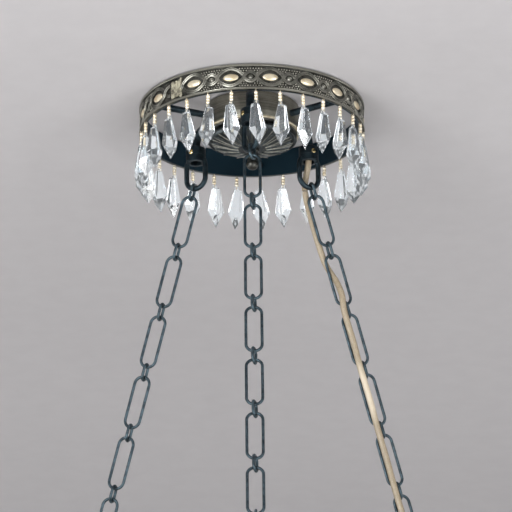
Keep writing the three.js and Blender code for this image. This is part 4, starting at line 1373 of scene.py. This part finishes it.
# Pale sheet seen from one side only, which the camera, metal and glass see paler by the given strengths
def oneSided(name, colour, inView, farOff, inMetal, inGlass):
    material, tree, shader = newMaterial(name, Roughness=0.9, Emission_Strength=1.0)
    rays = tree.nodes.new("ShaderNodeLightPath")
    far = grouped(tree, relief, Low=stage["farFrom"], High=stage["farTo"]).outputs[0]
    seen = calc(tree, "MULTIPLY_ADD", far, farOff, inView)
    glow = calc(tree, "MULTIPLY", rays.outputs["Is Camera Ray"], seen)
    glow = calc(tree, "MULTIPLY_ADD", rays.outputs["Is Glossy Ray"], inMetal, glow)
    glow = calc(tree, "MULTIPLY_ADD", rays.outputs["Is Transmission Ray"], inGlass, glow)
    tree.links.new(glow, shader.inputs["Emission Color"])
    shader.inputs["Specular IOR Level"].default_value = 0.0
    grain = noise(tree, tree.nodes.new("ShaderNodeTexCoord").outputs["Object"], 30.0, 2)
    mottle = mapped(tree, grain, 0.2, 0.8, 0.0, 0.04)
    tree.links.new(blended(tree, mottle, linear(*colour), linear(255, 255, 255)), shader.inputs["Base Color"])
    clear = tree.nodes.new("ShaderNodeBsdfTransparent")
    mix = tree.nodes.new("ShaderNodeMixShader")
    tree.links.new(tree.nodes.new("ShaderNodeNewGeometry").outputs["Backfacing"], mix.inputs[0])
    tree.links.new(shader.outputs[0], mix.inputs[1])
    tree.links.new(clear.outputs[0], mix.inputs[2])
    tree.links.new(mix.outputs[0], tree.nodes["Material Output"].inputs["Surface"])
    return material


def addStage():
    for name, key in (("paleCeiling", "ceiling"), ("paleFloor", "floor")):
        z = stage[key + "Z"]
        bpy.ops.object.select_all(action="DESELECT")
        bpy.ops.mesh.primitive_plane_add(size=stage["size"], location=(0, 0, z))
        sheet = bpy.context.object
        sheet.name = name
        if key == "ceiling":
            editAll(sheet)
            bpy.ops.mesh.flip_normals()
            bpy.ops.object.mode_set(mode="OBJECT")
        paint(sheet, oneSided(name, stage[key + "Colour"], *stage[key + "Glow"]))
    for index, (place, size, power) in enumerate(stage["lamps"]):
        light = bpy.data.lights.new(f"softLamp{index + 1}", "AREA")
        light.shape = "DISK"
        light.size = size
        light.energy = power
        softLamp = bpy.data.objects.new(f"softLamp{index + 1}", light)
        bpy.context.collection.objects.link(softLamp)
        aim = Vector((0, 0, -0.1)) - Vector(place)
        softLamp.matrix_world = Matrix.Translation(place) @ aim.to_track_quat("-Z", "Y").to_matrix().to_4x4()


def addWorld():
    world = bpy.data.worlds.new("paleSurround")
    bpy.context.scene.world = world
    world.use_nodes = True
    tree = world.node_tree
    rays = tree.nodes.new("ShaderNodeLightPath")
    seen = calc(tree, "MAXIMUM", rays.outputs["Is Camera Ray"],
                calc(tree, "MAXIMUM", rays.outputs["Is Glossy Ray"], rays.outputs["Is Transmission Ray"]))
    background = tree.nodes["Background"]
    background.inputs["Color"].default_value = linear(*stage["surround"])
    strength = mapped(tree, seen, 0, 1, stage["surroundLight"], 1.0, "LINEAR")
    tree.links.new(strength, background.inputs["Strength"])


addStage()
addWorld()
bpy.context.scene.view_settings.view_transform = "Standard"
print("stage and lights set")
